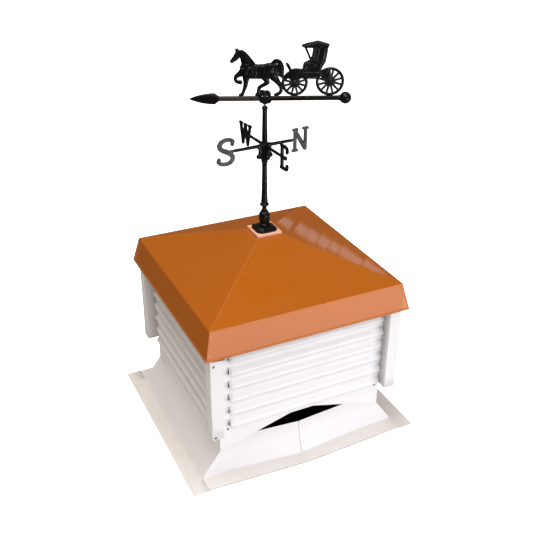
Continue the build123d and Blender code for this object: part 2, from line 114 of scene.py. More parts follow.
def new_finish(name):
    """A material with its node tree and its shader."""
    finish = bpy.data.materials.new(name)
    finish.use_nodes = True
    return finish, finish.node_tree, finish.node_tree.nodes["Principled BSDF"]


soft_box("key_box", (-0.3, -2.4, 3.3), object_middle, (1.4, 1.4), 30, (0.90, 0.93, 1.04))
soft_box("top_box", (-0.6, -0.5, 3.8), object_middle, (1.5, 1.5), 75, (1.0, 0.97, 0.94))
soft_box("low_box", (0.9, -2.75, 0.27), (-0.1, -0.4, 0.62), (2.3, 0.9), 44.5, (0.93, 0.96, 1.05))
for pane, (across, up, wide, tall) in enumerate((
        (-0.27, 1.005, 0.15, 0.075), (-0.10, 0.975, 0.105, 0.085), (0.012, 0.965, 0.105, 0.090),
        (0.125, 0.948, 0.105, 0.090), (0.23, 0.930, 0.09, 0.080), (0.40, 0.915, 0.23, 0.080),
        (0.64, 0.885, 0.23, 0.070))):
    pane_x = window_middle[0] + window_run[0] * across
    pane_y = window_middle[1] + window_run[1] * across
    soft_box(f"window_pane_{pane}", (pane_x, pane_y, up), object_middle, (wide, tall),
             pane_power * wide * tall, (0.92, 0.95, 1.0))

world = bpy.data.worlds.new("surround")
world.use_nodes = True
scene.world = world
sky = world.node_tree
sky.nodes.clear()
toward = sky.nodes.new("ShaderNodeTexCoord").outputs["Generated"]
ray = sky.nodes.new("ShaderNodeLightPath").outputs
lit = []
for sign, strengths in ((1, right_back_above), (-1, left_front_below)):
    turned_way = reckon_vector(sky, "MULTIPLY", toward, (sign, sign, sign))
    facing = reckon_vector(sky, "MAXIMUM", turned_way)
    squared = reckon_vector(sky, "MULTIPLY", facing, facing)
    lit.append(reckon_vector(sky, "DOT_PRODUCT", squared, strengths, out="Value"))
duller = reckon(sky, "MULTIPLY_ADD", ray["Is Glossy Ray"], glossy_loss, 1.0)
strength = reckon(sky, "MULTIPLY", reckon(sky, "ADD", *lit), duller)
either = sky.nodes.new("ShaderNodeMixShader")
sky.links.new(ray["Is Camera Ray"], either.inputs["Fac"])
for place, colour in ((1, (1.0, 0.925, 0.80, 1)), (2, (1, 1, 1, 1))):
    background = sky.nodes.new("ShaderNodeBackground")
    background.inputs["Color"].default_value = colour
    sky.links.new(background.outputs["Background"], either.inputs[place])
    if place == 1:
        sky.links.new(strength, background.inputs["Strength"])
surround = sky.nodes.new("ShaderNodeOutputWorld")
sky.links.new(either.outputs["Shader"], surround.inputs["Surface"])

floor_bm = bmesh.new()
bmesh.ops.create_grid(floor_bm, x_segments=1, y_segments=1, size=floor_size)
floor_mesh = bpy.data.meshes.new("floor")
floor_bm.to_mesh(floor_mesh)
floor_bm.free()
floor = bpy.data.objects.new("floor", floor_mesh)
scene.collection.objects.link(floor)

# Under the object the floor is painted near black, a painted shade where the object shades it; beyond, it is
# lit from within for the camera, and in reflections it is painted dark as well.
floor_paint, tree, shader = new_finish("floor_paint")
shader.inputs["Roughness"].default_value = 1.0
shader.inputs["Specular IOR Level"].default_value = 0.0
shader.inputs["Emission Color"].default_value = (1.0, 1.0, 1.0, 1)
place = tree.nodes.new("ShaderNodeTexCoord").outputs["Object"]
ray = tree.nodes.new("ShaderNodeLightPath").outputs
sides = parts_of(tree, reckon_vector(tree, "ABSOLUTE", place))
beyond = reckon(tree, "GREATER_THAN", reckon(tree, "MAXIMUM", sides["X"], sides["Y"]), shaded_half)
duller = reckon(tree, "MULTIPLY_ADD", ray["Is Glossy Ray"], floor_glossy_loss, 1.0)
tone = blend(tree, reckon(tree, "MULTIPLY", duller, beyond), (0.01, 0.01, 0.01), (0.86, 0.86, 0.86))
tree.links.new(tone, shader.inputs["Base Color"])
tree.links.new(reckon(tree, "MULTIPLY", beyond, ray["Is Camera Ray"]), shader.inputs["Emission Strength"])
floor.data.materials.append(floor_paint)

camera = bpy.data.objects.new("camera", bpy.data.cameras.new("camera"))
scene.collection.objects.link(camera)
scene.camera = camera
camera.data.lens = 53.01
camera_azimuth = math.radians(-26.012)
camera_elevation = math.radians(28.943)
camera_roll = math.radians(0.4735)
camera_distance = 3.092
camera_aim = Vector((0.0412, 0.0333, 0.5867))
camera_back = Vector((
    math.sin(camera_azimuth) * math.cos(camera_elevation),
    -math.cos(camera_azimuth) * math.cos(camera_elevation),
    math.sin(camera_elevation)))
camera.location = camera_aim + camera_back * camera_distance
camera.rotation_mode = "QUATERNION"
level = (-camera_back).to_track_quat("-Z", "Y")
camera.rotation_quaternion = level @ Quaternion((0, 0, 1), camera_roll)


# ---- Eave flashings --------------------------------------------------------------------
# One folded sheet on each eave side: an upstand behind the wall, a flare and a flat flange.
# Coated steel in white; the left flange has sprung up a little along its outer edge.
MM = 0.001
sheet = 1.0 * MM
flare_top = 104 * MM
fold_radius = 9 * MM
flange_rise = 1.6 * MM
spring_up = 3.2 * MM
flange_ripple = 0.5 * MM
edge_band = 0.8 * MM
touch = 1e-6
x_axis = Vector((1, 0, 0))
y_axis = Vector((0, 1, 0))
panel_low, panel_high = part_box("base_right_panel")
upstand_face = panel_low.x + sheet
upstand_top = panel_high.z
flange_edge = panel_high.x - 0.3 * MM
flange_end = panel_high.y - 0.3 * MM
flare_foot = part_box("front_right_skirt")[1].x
wall_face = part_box("left_louvred_wall")[1].y + sheet


def shader_group(name, inputs, outputs):
    """An empty shader node group, the sockets it is given and the ones it fills."""
    group = bpy.data.node_groups.new(name, "ShaderNodeTree")
    for title, value in inputs:
        socket = group.interface.new_socket(title, in_out="INPUT", socket_type="NodeSocketFloat")
        socket.default_value = value
    for title in outputs:
        group.interface.new_socket(title, in_out="OUTPUT", socket_type="NodeSocketFloat")
    return group, group.nodes.new("NodeGroupInput").outputs, group.nodes.new("NodeGroupOutput").inputs


def place_group(tree, group, **values):
    """Puts a node group into a material with its own values; returns what it gives."""
    node = tree.nodes.new("ShaderNodeGroup")
    node.node_tree = group
    for name, value in values.items():
        node.inputs[name].default_value = value
    return node.outputs


def mottle(tree, scale, detail, stretch=(1, 1, 1)):
    """A noise texture on object coordinates, drawn out along an axis where stretch says so."""
    where = tree.nodes.new("ShaderNodeTexCoord")
    mapping = tree.nodes.new("ShaderNodeMapping")
    mapping.inputs["Scale"].default_value = stretch
    texture = tree.nodes.new("ShaderNodeTexNoise")
    texture.inputs["Scale"].default_value = scale
    texture.inputs["Detail"].default_value = detail
    tree.links.new(where.outputs["Object"], mapping.inputs["Vector"])
    tree.links.new(mapping.outputs["Vector"], texture.inputs["Vector"])
    return texture.outputs["Fac"]


def spread(tree, value, low, high, to_low, to_high):
    """Maps a socket from one range to another, held at the ends."""
    node = tree.nodes.new("ShaderNodeMapRange")
    for name, bound in (("From Min", low), ("From Max", high), ("To Min", to_low), ("To Max", to_high)):
        node.inputs[name].default_value = bound
    tree.links.new(value, node.inputs["Value"])
    return node.outputs["Result"]


def dress(tree, shader, colour, roughness, height, **others):
    """Gives a shader its colour, its roughness, its relief in metres and other plain inputs."""
    bump = tree.nodes.new("ShaderNodeBump")
    bump.inputs["Distance"].default_value = 1.0
    tree.links.new(height, bump.inputs["Height"])
    tree.links.new(colour, shader.inputs["Base Color"])
    tree.links.new(roughness, shader.inputs["Roughness"])
    tree.links.new(bump.outputs["Normal"], shader.inputs["Normal"])
    for name, value in others.items():
        shader.inputs[name.replace("_", " ")].default_value = value


# Thin sheet: shallow buckles left by folding, and the fine peel of sprayed paint.
sheet_skin, given, made = shader_group(
    "sheet_skin", (("Buckle", 0.0004), ("Peel", 0.00001)), ("Height", "Blotch"))
deep = reckon(sheet_skin, "MULTIPLY", mottle(sheet_skin, 4.0, 1.0), given["Buckle"])
fine = reckon(sheet_skin, "MULTIPLY", mottle(sheet_skin, 700.0, 1.0), given["Peel"])
sheet_skin.links.new(reckon(sheet_skin, "ADD", deep, fine), made["Height"])
sheet_skin.links.new(mottle(sheet_skin, 9.0, 4.0), made["Blotch"])

# A patchy tint, only on faces that look up.
upward_tint, given, made = shader_group("upward_tint", (("Amount", 0.3),), ("Mask",))
facing = upward_tint.nodes.new("ShaderNodeNewGeometry").outputs["Normal"]
upward = spread(upward_tint, parts_of(upward_tint, facing)["Z"], 0.6, 1.0, 0.0, 1.0)
patchy = spread(upward_tint, mottle(upward_tint, 14.0, 5.0), 0.35, 0.7, 0.45, 1.0)
lying = reckon(upward_tint, "MULTIPLY", upward, patchy)
upward_tint.links.new(reckon(upward_tint, "MULTIPLY", lying, given["Amount"]), made["Mask"])


def painted_sheet(name, colour, soiled, amount, lying=0.0, shaded_upper=None):
    """Polyester paint over zinc-coated steel: satin, blotched with a little soil, and tinted on faces that
    look up.

    A duller top colour, when given, is painted on the band high on the piece: painted shade there."""
    finish, tree, shader = new_finish(name)
    skin = place_group(tree, sheet_skin, Buckle=0.0006, Peel=0.000006)
    settled = place_group(tree, upward_tint, Amount=lying)
    grime = spread(tree, skin["Blotch"], 0.35, 0.75, amount * 0.3, amount)
    soil = reckon(tree, "ADD", grime, settled["Mask"])
    if shaded_upper:
        where = tree.nodes.new("ShaderNodeTexCoord").outputs["Object"]
        painted_shade_band = spread(tree, parts_of(tree, where)["Z"], 0.08, 0.17, 0.0, 1.0)
        colour = blend(tree, painted_shade_band, colour, shaded_upper)
    dress(tree, shader, blend(tree, soil, colour, soiled),
          spread(tree, skin["Blotch"], 0.3, 0.7, 0.34, 0.46), skin["Height"])
    return finish


white_paint = painted_sheet("white_paint", (0.80, 0.785, 0.80), (0.62, 0.55, 0.47), 0.10, 0.45)
# Near-black edge paint: the dark cut edge of the sheet, together with a painted shadow line along the edges
# and under the hems.
cut_edge_and_shadow_line = painted_sheet("cut_edge_and_shadow_line", (0.025, 0.022, 0.02), (0.012, 0.009, 0.007), 0.6)


def verts_of(made):
    """The points among what a bmesh operator made."""
    return [item for item in made if isinstance(item, bmesh.types.BMVert)]


def drawn_out(bm, points, travel):
    """A strip made by drawing a polyline along a vector."""
    corners = [bm.verts.new(point) for point in points]
    runs = [bm.edges.new(pair) for pair in zip(corners, corners[1:])]
    made = bmesh.ops.extrude_edge_only(bm, edges=runs)["geom"]
    bmesh.ops.translate(bm, verts=verts_of(made), vec=travel)


def cut_across(bm, place, normal, drop_beyond=False):
    """Cuts a mesh on a plane, and can drop what lies beyond it."""
    bmesh.ops.bisect_plane(
        bm, geom=bm.verts[:] + bm.edges[:] + bm.faces[:], plane_co=place, plane_no=normal,
        clear_outer=drop_beyond)


def cut_strips(bm, axis, low, high, count):
    """Cuts a mesh into even strips across an axis."""
    for step in range(1, count):
        cut_across(bm, axis * (low + step * (high - low) / count), axis)


def round_folds(bm, radius, chosen, steps=5):
    """Rounds the chosen folds of a sheet to a bend radius."""
    folds = [edge for edge in bm.edges if len(edge.link_faces) == 2 and chosen(edge)]
    bmesh.ops.bevel(
        bm, geom=folds, offset=radius, offset_type="OFFSET", affect="EDGES",
        segments=steps, profile=0.5, material=-1, clamp_overlap=True)


def face_out(bm, outward, turn=0.0):
    """Makes a sheet's faces look the way it faces, then turns it about the middle."""
    bmesh.ops.recalc_face_normals(bm, faces=bm.faces)
    total = sum((face.normal * face.calc_area() for face in bm.faces), Vector())
    if total.dot(Vector(outward)) < 0:
        bmesh.ops.reverse_faces(bm, faces=bm.faces)
    if turn:
        bmesh.ops.rotate(bm, verts=bm.verts, cent=(0, 0, 0), matrix=Matrix.Rotation(turn, 3, "Z"))


def finished(bm, name, *finishes, crease=30):
    """Writes a bmesh to a new object, smooth but for edges sharper than the crease angle."""
    mesh = bpy.data.meshes.new(name)
    bm.to_mesh(mesh)
    bm.free()
    mesh.shade_smooth()
    mesh.set_sharp_from_angle(angle=math.radians(crease))
    piece = bpy.data.objects.new(name, mesh)
    scene.collection.objects.link(piece)
    for finish in finishes:
        piece.data.materials.append(finish)
    return piece


def thicken(piece, thickness=sheet, inner=0, rim=0):
    """Gives a sheet its thickness behind the modelled face."""
    wall = piece.modifiers.new("sheet", "SOLIDIFY")
    wall.thickness = thickness
    wall.offset = -1
    wall.material_offset = inner
    wall.material_offset_rim = rim


def fit(piece, body, slot, *nodes):
    """Fixes a piece to its body and puts it in place of its CAD nodes, which it hides; its slot is not used.
    """
    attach(piece, body)
    if nodes:
        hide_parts(*nodes)


for side_name, side in (("left", -1), ("right", 1)):
    bm = bmesh.new()
    drawn_out(bm, [
        (side * upstand_face, -flange_end, upstand_top),
        (side * upstand_face, -flange_end, flare_top),
        (side * flare_foot, -flange_end, flange_rise),
        (side * flange_edge, -flange_end, flange_rise)], (0, 2 * flange_end, 0))
    flare_end = wall_face - 2 * sheet
    for end in (-1, 1):
        cut_across(bm, (0, end * flare_end, 0), y_axis)
    spare = [
        face for face in bm.faces
        if abs(face.calc_center_median().y) > flare_end and abs(face.calc_center_median().x) < flare_foot]
    bmesh.ops.delete(bm, geom=spare, context="FACES")
    round_folds(bm, fold_radius, lambda edge: abs(edge.verts[0].co.x - edge.verts[1].co.x) < touch
                and abs(edge.verts[0].co.x) < flange_edge - 100 * touch)
    for end in (-1, 1):
        for reach in (flange_end, flare_end):
            cut_across(bm, (0, end * (reach - edge_band), 0), y_axis)
    cut_across(bm, (side * (flange_edge - edge_band), 0, 0), x_axis)
    cut_strips(bm, y_axis, -flange_end, flange_end, 28)
    for corner in bm.verts:
        out = (abs(corner.co.x) - flare_foot) / (flange_edge - flare_foot)
        along = (corner.co.y + flange_end) / (2 * flange_end)
        if out > 0:
            ripple = flange_ripple * grain.noise(Vector((side * 3, corner.co.y * 9, 0)))
            lift = spring_up * math.sin(math.pi * along) ** 2 if side < 0 else 0
            corner.co.z += out * (lift + ripple)
    face_out(bm, (side, 0, 1))
    flashing = finished(bm, f"{side_name}_eave_flashing", white_paint, cut_edge_and_shadow_line)
    # The rims take the near-black edge paint: cut edges with a painted shadow line under the flange's outer
    # edge.
    thicken(flashing, rim=1)
    fit(flashing, "housing", "white_sheet", f"base_{side_name}_panel")


# ---- Ridge skirts ----------------------------------------------------------------------
# Two half sheets on each ridge side, meeting at an upright seam off the centre.  Their tops
# are cut to a shallow V, and they swell out at the seam and turn flat over the eave flanges.
skirt_face = wall_face - sheet
seam = -12 * MM
seam_top = 131 * MM
seam_swell = 34 * MM
lip_rise = 2.9 * MM
lip_reach_at_seam = 54 * MM
lip_reach_at_corner = 67 * MM
lip_fold = 4 * MM
hem_foot = 0.4 * MM
lap_width = 7 * MM
lap_foot = lip_rise + 5 * MM
swell_blend = 0.1
swell_power = 1.5
skirt_sheet = sheet * 0.9
# In millimetres: how far the lip stands off the flange, waves along it and droops at the corner.
lip_lift = 0.3
lip_wave = 0.9
lip_droop = 0.35
z_axis = Vector((0, 0, 1))

# The skirts' paint turns duller up their top band: painted shade there.
skirt_paint = painted_sheet(
    "skirt_paint", (0.80, 0.79, 0.81), (0.64, 0.57, 0.49), 0.10, 0.40, shaded_upper=(0.68, 0.675, 0.70))


def swelled(across, up, foot):
    """How far a half skirt stands out of its flat plane."""
    over = 1 - (across - seam) / (foot - seam) - (up - lip_rise) / (seam_top - lip_rise)
    return seam_swell * (0.5 * (over + math.sqrt(over * over + swell_blend ** 2))) ** swell_power


for end_name, end_turn in (("front", 0), ("back", math.pi)):
    for side_name, side in (("left", -1), ("right", 1)):
        node = f"{end_name}_{side_name}_skirt"
        foot = side * flare_foot
        skirt_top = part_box(node)[1].z
        bm = bmesh.new()
        rim_points = [
            (seam, lip_rise), (foot, lip_rise), (side * wall_face, flare_top),
            (side * skirt_face, skirt_top), (seam, seam_top)]
        bm.faces.new([bm.verts.new((across, -skirt_face, up)) for across, up in rim_points])
        for low, high in zip(rim_points[1:], rim_points[2:] + rim_points[:1]):
            along = Vector((high[0] - low[0], 0, high[1] - low[1])).normalized()
            inward = Vector((-along.z, 0, along.x)) * side
            cut_across(bm, Vector((low[0], 0, low[1])) + inward * edge_band, inward)
        cut_strips(bm, x_axis, seam, foot, 24)
        cut_strips(bm, z_axis, lip_rise, seam_top, 12)
        bottom = [edge for edge in bm.edges if max(v.co.z for v in edge.verts) < lip_rise + touch]
        lip = verts_of(bmesh.ops.extrude_edge_only(bm, edges=bottom)["geom"])
        for corner in bm.verts:
            share = (corner.co.x - seam) / (foot - seam)
            if corner in lip:
                reach = lip_reach_at_seam + seam_swell
                reach += share * (lip_reach_at_corner - reach)
                corner.co.y -= reach
                ripple = grain.noise(Vector((corner.co.x * 14, end_turn, 0)))
                settled = min(1, 5 * share) * (1 - share * share)
                corner.co.z += ((lip_lift + lip_wave * ripple) * settled - lip_droop * share ** 2) * MM
            else:
                corner.co.y -= swelled(corner.co.x, corner.co.z, foot)
        # The hem turned down under the lip takes the near-black edge paint: a painted shadow line under the
        # lip's outer edge.
        outer = [edge for edge in bm.edges if edge.verts[0] in lip and edge.verts[1] in lip]
        hem = bmesh.ops.extrude_edge_only(bm, edges=outer)["geom"]
        for part in hem:
            if isinstance(part, bmesh.types.BMVert):
                part.co.z = hem_foot
            if isinstance(part, bmesh.types.BMFace):
                part.material_index = 1
        fold_line = -skirt_face - seam_swell - 1 * MM
        round_folds(bm, lip_fold, lambda edge: max(v.co.z for v in edge.verts) < lip_rise + touch
                    and min(v.co.y for v in edge.verts) > fold_line
                    and abs(edge.verts[0].co.x - edge.verts[1].co.x) > 10 * touch, steps=14)
        face_out(bm, (0, -1, 1), end_turn)
        skirt = finished(bm, node, skirt_paint, cut_edge_and_shadow_line, crease=50)
        thicken(skirt, skirt_sheet)
        fit(skirt, "housing", "white_sheet", node)

    # The cover strip over the seam: a narrow lap with a folded edge that catches the light.
    bm = bmesh.new()
    drawn_out(bm, [
        (seam - 1.4 * MM, -0.2 * MM, lap_foot), (seam, -2.8 * MM, lap_foot),
        (seam + lap_width, -1.2 * MM, lap_foot), (seam + lap_width, -0.2 * MM, lap_foot)],
        (0, 0, seam_top - 1 * MM - lap_foot))
    cut_strips(bm, z_axis, lip_rise, seam_top, 12)
    for corner in bm.verts:
        corner.co.y -= skirt_face + swelled(max(seam, corner.co.x), corner.co.z, flare_foot)
    face_out(bm, (0, -1, 0), end_turn)
    lap = finished(bm, f"{end_name}_seam_lap", skirt_paint, cut_edge_and_shadow_line)
    thicken(lap, 0.5 * MM)
    fit(lap, "housing", "white_sheet")


# ---- Louvred walls ---------------------------------------------------------------------
# One white sheet on each side, slit and pressed out into six louvres that lean over their
# slots and stop short of the left edge.  The two ridge walls are cut to the roof's slope.
blade_count = 6
blade_pitch = 56.5 * MM
first_blade = 26 * MM
blade_height = 31 * MM
ridge_blade_reach = 14 * MM
side_blade_reach = 21 * MM
blade_margin = 38 * MM
blade_end = 2 * MM
blade_rows = 12
lean_at_top = 0.55
lean_at_lip = 0.22
wall_sheet = sheet * 0.9
ridge_flat = 48 * MM
ridge_pitch = math.radians(15.5)
wall_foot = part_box("front_louvred_wall")[0].z
wall_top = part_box("front_louvred_wall")[1].z
cut_height = wall_foot + (wall_face - ridge_flat) * math.tan(ridge_pitch)
blade_left = -wall_face + blade_margin
blade_right = wall_face - blade_end
lips = [cut_height + first_blade + course * blade_pitch for course in range(blade_count)]
four_sides = (("front", 0), ("right", math.pi / 2), ("back", math.pi), ("left", -math.pi / 2))

# Near black on the backs of the sheets: painted shade inside the housing.
painted_interior_shade = painted_sheet("painted_interior_shade", (0.006, 0.006, 0.006), (0.012, 0.011, 0.010), 0.5)


def louvre_lean(share):
    """How far a louvre leans out, as a share of its reach, from its top (0) to its lip (1)."""
    start = share ** 3 - 2 * share ** 2 + share
    finish = share ** 3 - share ** 2
    return lean_at_top * start + lean_at_lip * finish + 3 * share ** 2 - 2 * share ** 3


def louvre_faces(bm):
    """The faces of a wall that lie inside its louvres."""
    middles = ((face, face.calc_center_median()) for face in bm.faces)
    return [face for face, middle in middles if blade_left < middle.x < blade_right
            and any(lip < middle.z < lip + blade_height for lip in lips)]


for side_name, side_turn in four_sides:
    over_ridge = side_name in ("front", "back")
    half_width = wall_face if over_ridge else wall_face - sheet
    reach = ridge_blade_reach if over_ridge else side_blade_reach
    bm = bmesh.new()
    bottom = [(-half_width, wall_foot), (half_width, wall_foot)]
    if over_ridge:
        bottom[1:1] = [(-ridge_flat, cut_height), (ridge_flat, cut_height)]
    outline = bottom + [(half_width, wall_top), (-half_width, wall_top)]
    sheet_face = bm.faces.new([bm.verts.new((across, -wall_face, up)) for across, up in outline])
    bmesh.ops.inset_individual(bm, faces=[sheet_face], thickness=edge_band, use_even_offset=True)
    for across in (blade_left, blade_right):
        cut_across(bm, (across, 0, 0), x_axis)
    for lip in lips:
        for row in range(blade_rows + 1):
            cut_across(bm, (0, 0, lip + blade_height * row / blade_rows), z_axis)
    bmesh.ops.triangulate(bm, faces=[face for face in bm.faces if len(face.verts) > 4])
    torn = set()
    for face in louvre_faces(bm):
        for edge in face.edges:
            upright = abs(edge.verts[0].co.x - edge.verts[1].co.x) < touch
            on_lip = any(abs(max(v.co.z for v in edge.verts) - lip) < touch for lip in lips)
            if upright or on_lip:
                torn.add(edge)
    bmesh.ops.split_edges(bm, edges=list(torn))
    for corner in {corner for face in louvre_faces(bm) for corner in face.verts}:
        lip = max(lip for lip in lips if lip < corner.co.z + 10 * touch)
        share = 1 - (corner.co.z - lip) / blade_height
        corner.co.y -= reach * louvre_lean(min(1, max(0, share)))
    cut_strips(bm, x_axis, -half_width, half_width, 12)
    face_out(bm, (0, -1, 0), side_turn)
    wall = finished(bm, f"{side_name}_louvred_wall", white_paint, painted_interior_shade, crease=12)
    thicken(wall, wall_sheet, inner=1, rim=0)
    fit(wall, "housing", "white_sheet", f"{side_name}_louvred_wall")


# ---- Corner trims ----------------------------------------------------------------------
# A box trim folded from white sheet down each corner, open at its foot, with its returns
# against the two walls.  Pan-head screws hold it near its top and its foot.
trim_low, trim_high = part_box("front_right_corner_trim")
trim_face = trim_high.x
trim_back = wall_face + 0.4 * MM
trim_fold = 3 * MM

# A darker copy of the white paint for the trims: painted shade on them.
shaded_trim_paint = painted_sheet("shaded_trim_paint", (0.735, 0.72, 0.735), (0.58, 0.52, 0.45), 0.10, 0.40)

for end_name, end in (("front", -1), ("back", 1)):
    for side_name, side in (("left", -1), ("right", 1)):
        bm = bmesh.new()
        drawn_out(bm, [
            (side * across, end * along, trim_low.z) for across, along in (
                (wall_face - sheet, trim_back), (wall_face - sheet, trim_face), (trim_face, trim_face),
                (trim_face, wall_face - sheet), (trim_back, wall_face - sheet))],
            (0, 0, trim_high.z - trim_low.z))
        round_folds(bm, trim_fold, lambda edge: abs(edge.verts[0].co.z - edge.verts[1].co.z) > 0.1)
        cut_strips(bm, z_axis, trim_low.z, trim_high.z, 8)
        face_out(bm, (side, end, 0))
        node = f"{end_name}_{side_name}_corner_trim"
        trim = finished(bm, node, shaded_trim_paint, painted_interior_shade, cut_edge_and_shadow_line, crease=50)
        # The rims take the near-black edge paint: cut edges with a painted shadow line along them.
        thicken(trim, inner=0, rim=2)
        fit(trim, "housing", "white_sheet", node)


# ---- Sheet-metal screws ----------------------------------------------------------------
# Small zinc-plated pan heads with a rubber washer under them: two on one face of each corner
# trim and one low at each end of a ridge wall.
trim_screws = (518 * MM, 213 * MM)
trim_screw_across = -366 * MM
wall_screws = (-301.5 * MM, 318 * MM)
wall_screw_height = 197 * MM
head_top = 2.2


def bare_metal(name, pattern, dark, bright, smooth, rough, metallic, relief):
    """Bare or plated metal with a pattern of darker and brighter places."""
    finish, tree, shader = new_finish(name)
    drawn = spread(tree, mottle(tree, *pattern), 0.3, 0.7, 0.0, 1.0)
    dress(tree, shader, blend(tree, drawn, dark, bright), spread(tree, drawn, 0, 1, smooth, rough),
          reckon(tree, "MULTIPLY", drawn, relief), Metallic=metallic)
    return finish


zinc = bare_metal(
    "zinc_plate", (900, 2), (0.16, 0.15, 0.15), (0.30, 0.28, 0.28), 0.3, 0.5, 0.7, 0.00005)


def tiers(bm, stand, segments, *stack):
    """Round tiers on a stand, each (low, high, foot radius, top radius) in millimetres."""
    for low, high, foot_radius, top_radius in stack:
        bmesh.ops.create_cone(
            bm, cap_ends=True, segments=segments, radius1=foot_radius * MM, radius2=top_radius * MM,
            depth=(high - low) * MM, matrix=stand @ Matrix.Translation((0, 0, (low + high) / 2 * MM)))


def screw(bm, place, turn):
    """A domed head with a cross recess on a washer, facing out along a wall's normal."""
    turned = Matrix.Rotation(turn, 4, "Z")
    stand = Matrix.Translation(turned @ Vector(place)) @ turned @ Matrix.Rotation(math.pi / 2, 4, "X")
    tiers(bm, stand, 14, (0, 0.6, 4.86, 4.68), (0.6, 1.5, 3.6, 3.312), (1.5, head_top, 3.312, 1.98))
    for quarter in (0, math.pi / 2):
        bmesh.ops.create_cube(
            bm, size=1, matrix=stand @ Matrix.Rotation(quarter, 4, "Z")
            @ Matrix.Translation((0, 0, head_top * MM)) @ Matrix.Diagonal((3.2 * MM, 0.6 * MM, 0.3 * MM, 1)))


bm = bmesh.new()
for quarter in range(4):
    turn = quarter * math.pi / 2
    for up in trim_screws:
        screw(bm, (trim_screw_across, -trim_face, up), turn)
    if quarter % 2 == 0:
        for across in wall_screws:
            screw(bm, (across, -wall_face, wall_screw_height), turn)
fit(finished(bm, "housing_screws", zinc), "housing", "spindle_steel")


# ---- Hipped roof -----------------------------------------------------------------------
# Four slopes of copper-coloured sheet, each folded down at the eave into a leaning fascia,
# hemmed below and mitred at the corners.  Its baked paint is glossy and shows the room.
fascia_lean = 23.5 * MM
roof_pitch = math.radians(20)
roof_low, roof_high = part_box("front_roof_panel")
fascia_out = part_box("right_roof_panel")[1].x
roof_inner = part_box("right_roof_panel")[0].x
eave_out = fascia_out - fascia_lean
eave_height = roof_high.z - (eave_out - roof_inner) * math.tan(roof_pitch)
roof_sheet = sheet * 0.8
hem = 7 * MM
hem_return = 1.6 * MM
hip_radius = 1.6 * MM
hip_band = 12 * MM
# Rows close beside the folds, which keep their rounding tight.
fold_rows = (
    roof_low.z + 3 * MM, eave_height - 7 * MM, eave_height + 2.4 * MM, roof_high.z - 3 * MM)


def copper_paint(name, colour, worn, gloss=0.30, buckle=0.0009):
    """Copper-coloured baked paint: deep orange with a fine metal grain and a clear gloss."""
    finish, tree, shader = new_finish(name)
    skin = place_group(tree, sheet_skin, Buckle=buckle, Peel=0.000003)
    settled = place_group(tree, upward_tint, Amount=0.05)
    cloud = spread(tree, skin["Blotch"], 0.3, 0.75, 0.0, 0.55)
    soil = reckon(tree, "ADD", cloud, settled["Mask"])
    # The bends of folds and hems are painted paler: a painted highlight along them.
    bend = tree.nodes.new("ShaderNodeNewGeometry").outputs["Pointiness"]
    fold_highlight = spread(tree, bend, 0.51, 0.55, 0.0, 0.16)
    dress(tree, shader, blend(tree, fold_highlight, blend(tree, soil, colour, worn), (0.80, 0.36, 0.18)),
          spread(tree, skin["Blotch"], 0.3, 0.7, gloss, gloss + 0.08), skin["Height"],
          Metallic=0.12, Specular_IOR_Level=0.0, Coat_Weight=0.35, Coat_Roughness=0.045, Coat_IOR=1.5)
    return finish


roof_paint = copper_paint("roof_paint", (0.365, 0.096, 0.006), (0.345, 0.092, 0.008))

for side_name, side_turn in four_sides:
    bm = bmesh.new()
    bmesh.ops.create_grid(bm, x_segments=1, y_segments=1, size=eave_out,
                          matrix=Matrix.Translation((0, 0, eave_height)))
    bm.faces.ensure_lookup_table()
    slope = bm.faces[0]
    bmesh.ops.inset_individual(
        bm, faces=[slope], thickness=eave_out - roof_inner, depth=0, use_even_offset=True)
    bmesh.ops.translate(bm, verts=slope.verts, vec=(0, 0, roof_high.z - eave_height))
    bmesh.ops.delete(bm, geom=[slope], context="FACES")
    eaves = [edge for edge in bm.edges if len(edge.link_faces) == 1
             and edge.verts[0].co.z < eave_height + touch]
    for reach, rise in ((fascia_out, roof_low.z), (fascia_out - hem_return, roof_low.z + hem)):
        made = bmesh.ops.extrude_edge_only(bm, edges=eaves)["geom"]
        eaves = [item for item in made if isinstance(item, bmesh.types.BMEdge)]
        for corner in verts_of(made):
            corner.co.x = math.copysign(reach, corner.co.x)
            corner.co.y = math.copysign(reach, corner.co.y)
            corner.co.z = rise
    round_folds(bm, hip_radius, lambda edge: min(v.co.z for v in edge.verts) > roof_low.z - touch
                and max(v.co.z for v in edge.verts) > roof_low.z + hem + 100 * touch, steps=4)
    for hip in (1, -1):
        cut_across(bm, (0, 0, 0), (hip, 1, 0), drop_beyond=True)
        cut_across(bm, (0, -hip_band, 0), (hip, 1, 0))
    for up in fold_rows:
        cut_across(bm, (0, 0, up), z_axis)
    cut_strips(bm, z_axis, eave_height, roof_high.z, 8)
    cut_strips(bm, x_axis, -eave_out, eave_out, 16)
    face_out(bm, (0, -1, 1), side_turn)
    panel = finished(bm, f"{side_name}_roof_panel", roof_paint)
    thicken(panel, roof_sheet)
    fit(panel, "housing", "copper_sheet", f"{side_name}_roof_panel")


# ---- Fascia corner laps ----------------------------------------------------------------
# At each corner a tab of the side fascia turns behind the next one, hangs a little below it
# and is held by two blind rivets.
tab_length = 66 * MM
tab_drop = 8.5 * MM
tab_height = 60 * MM
tab_behind = 2.4 * MM
tab_outline = (
    (22 * MM, -tab_drop * 0.5), (tab_length, -tab_drop), (tab_length + 3 * MM, tab_height),
    (14 * MM, tab_height))
rivet_heights = (82 * MM, 22 * MM)
rivet_inset = 8 * MM
lean = math.atan2(fascia_lean, eave_height - roof_low.z)

# The tabs are painted a darker copper: painted shade under the fascia.
shaded_tab_paint = copper_paint("shaded_tab_paint", (0.22, 0.045, 0.010), (0.18, 0.04, 0.012), gloss=0.45)
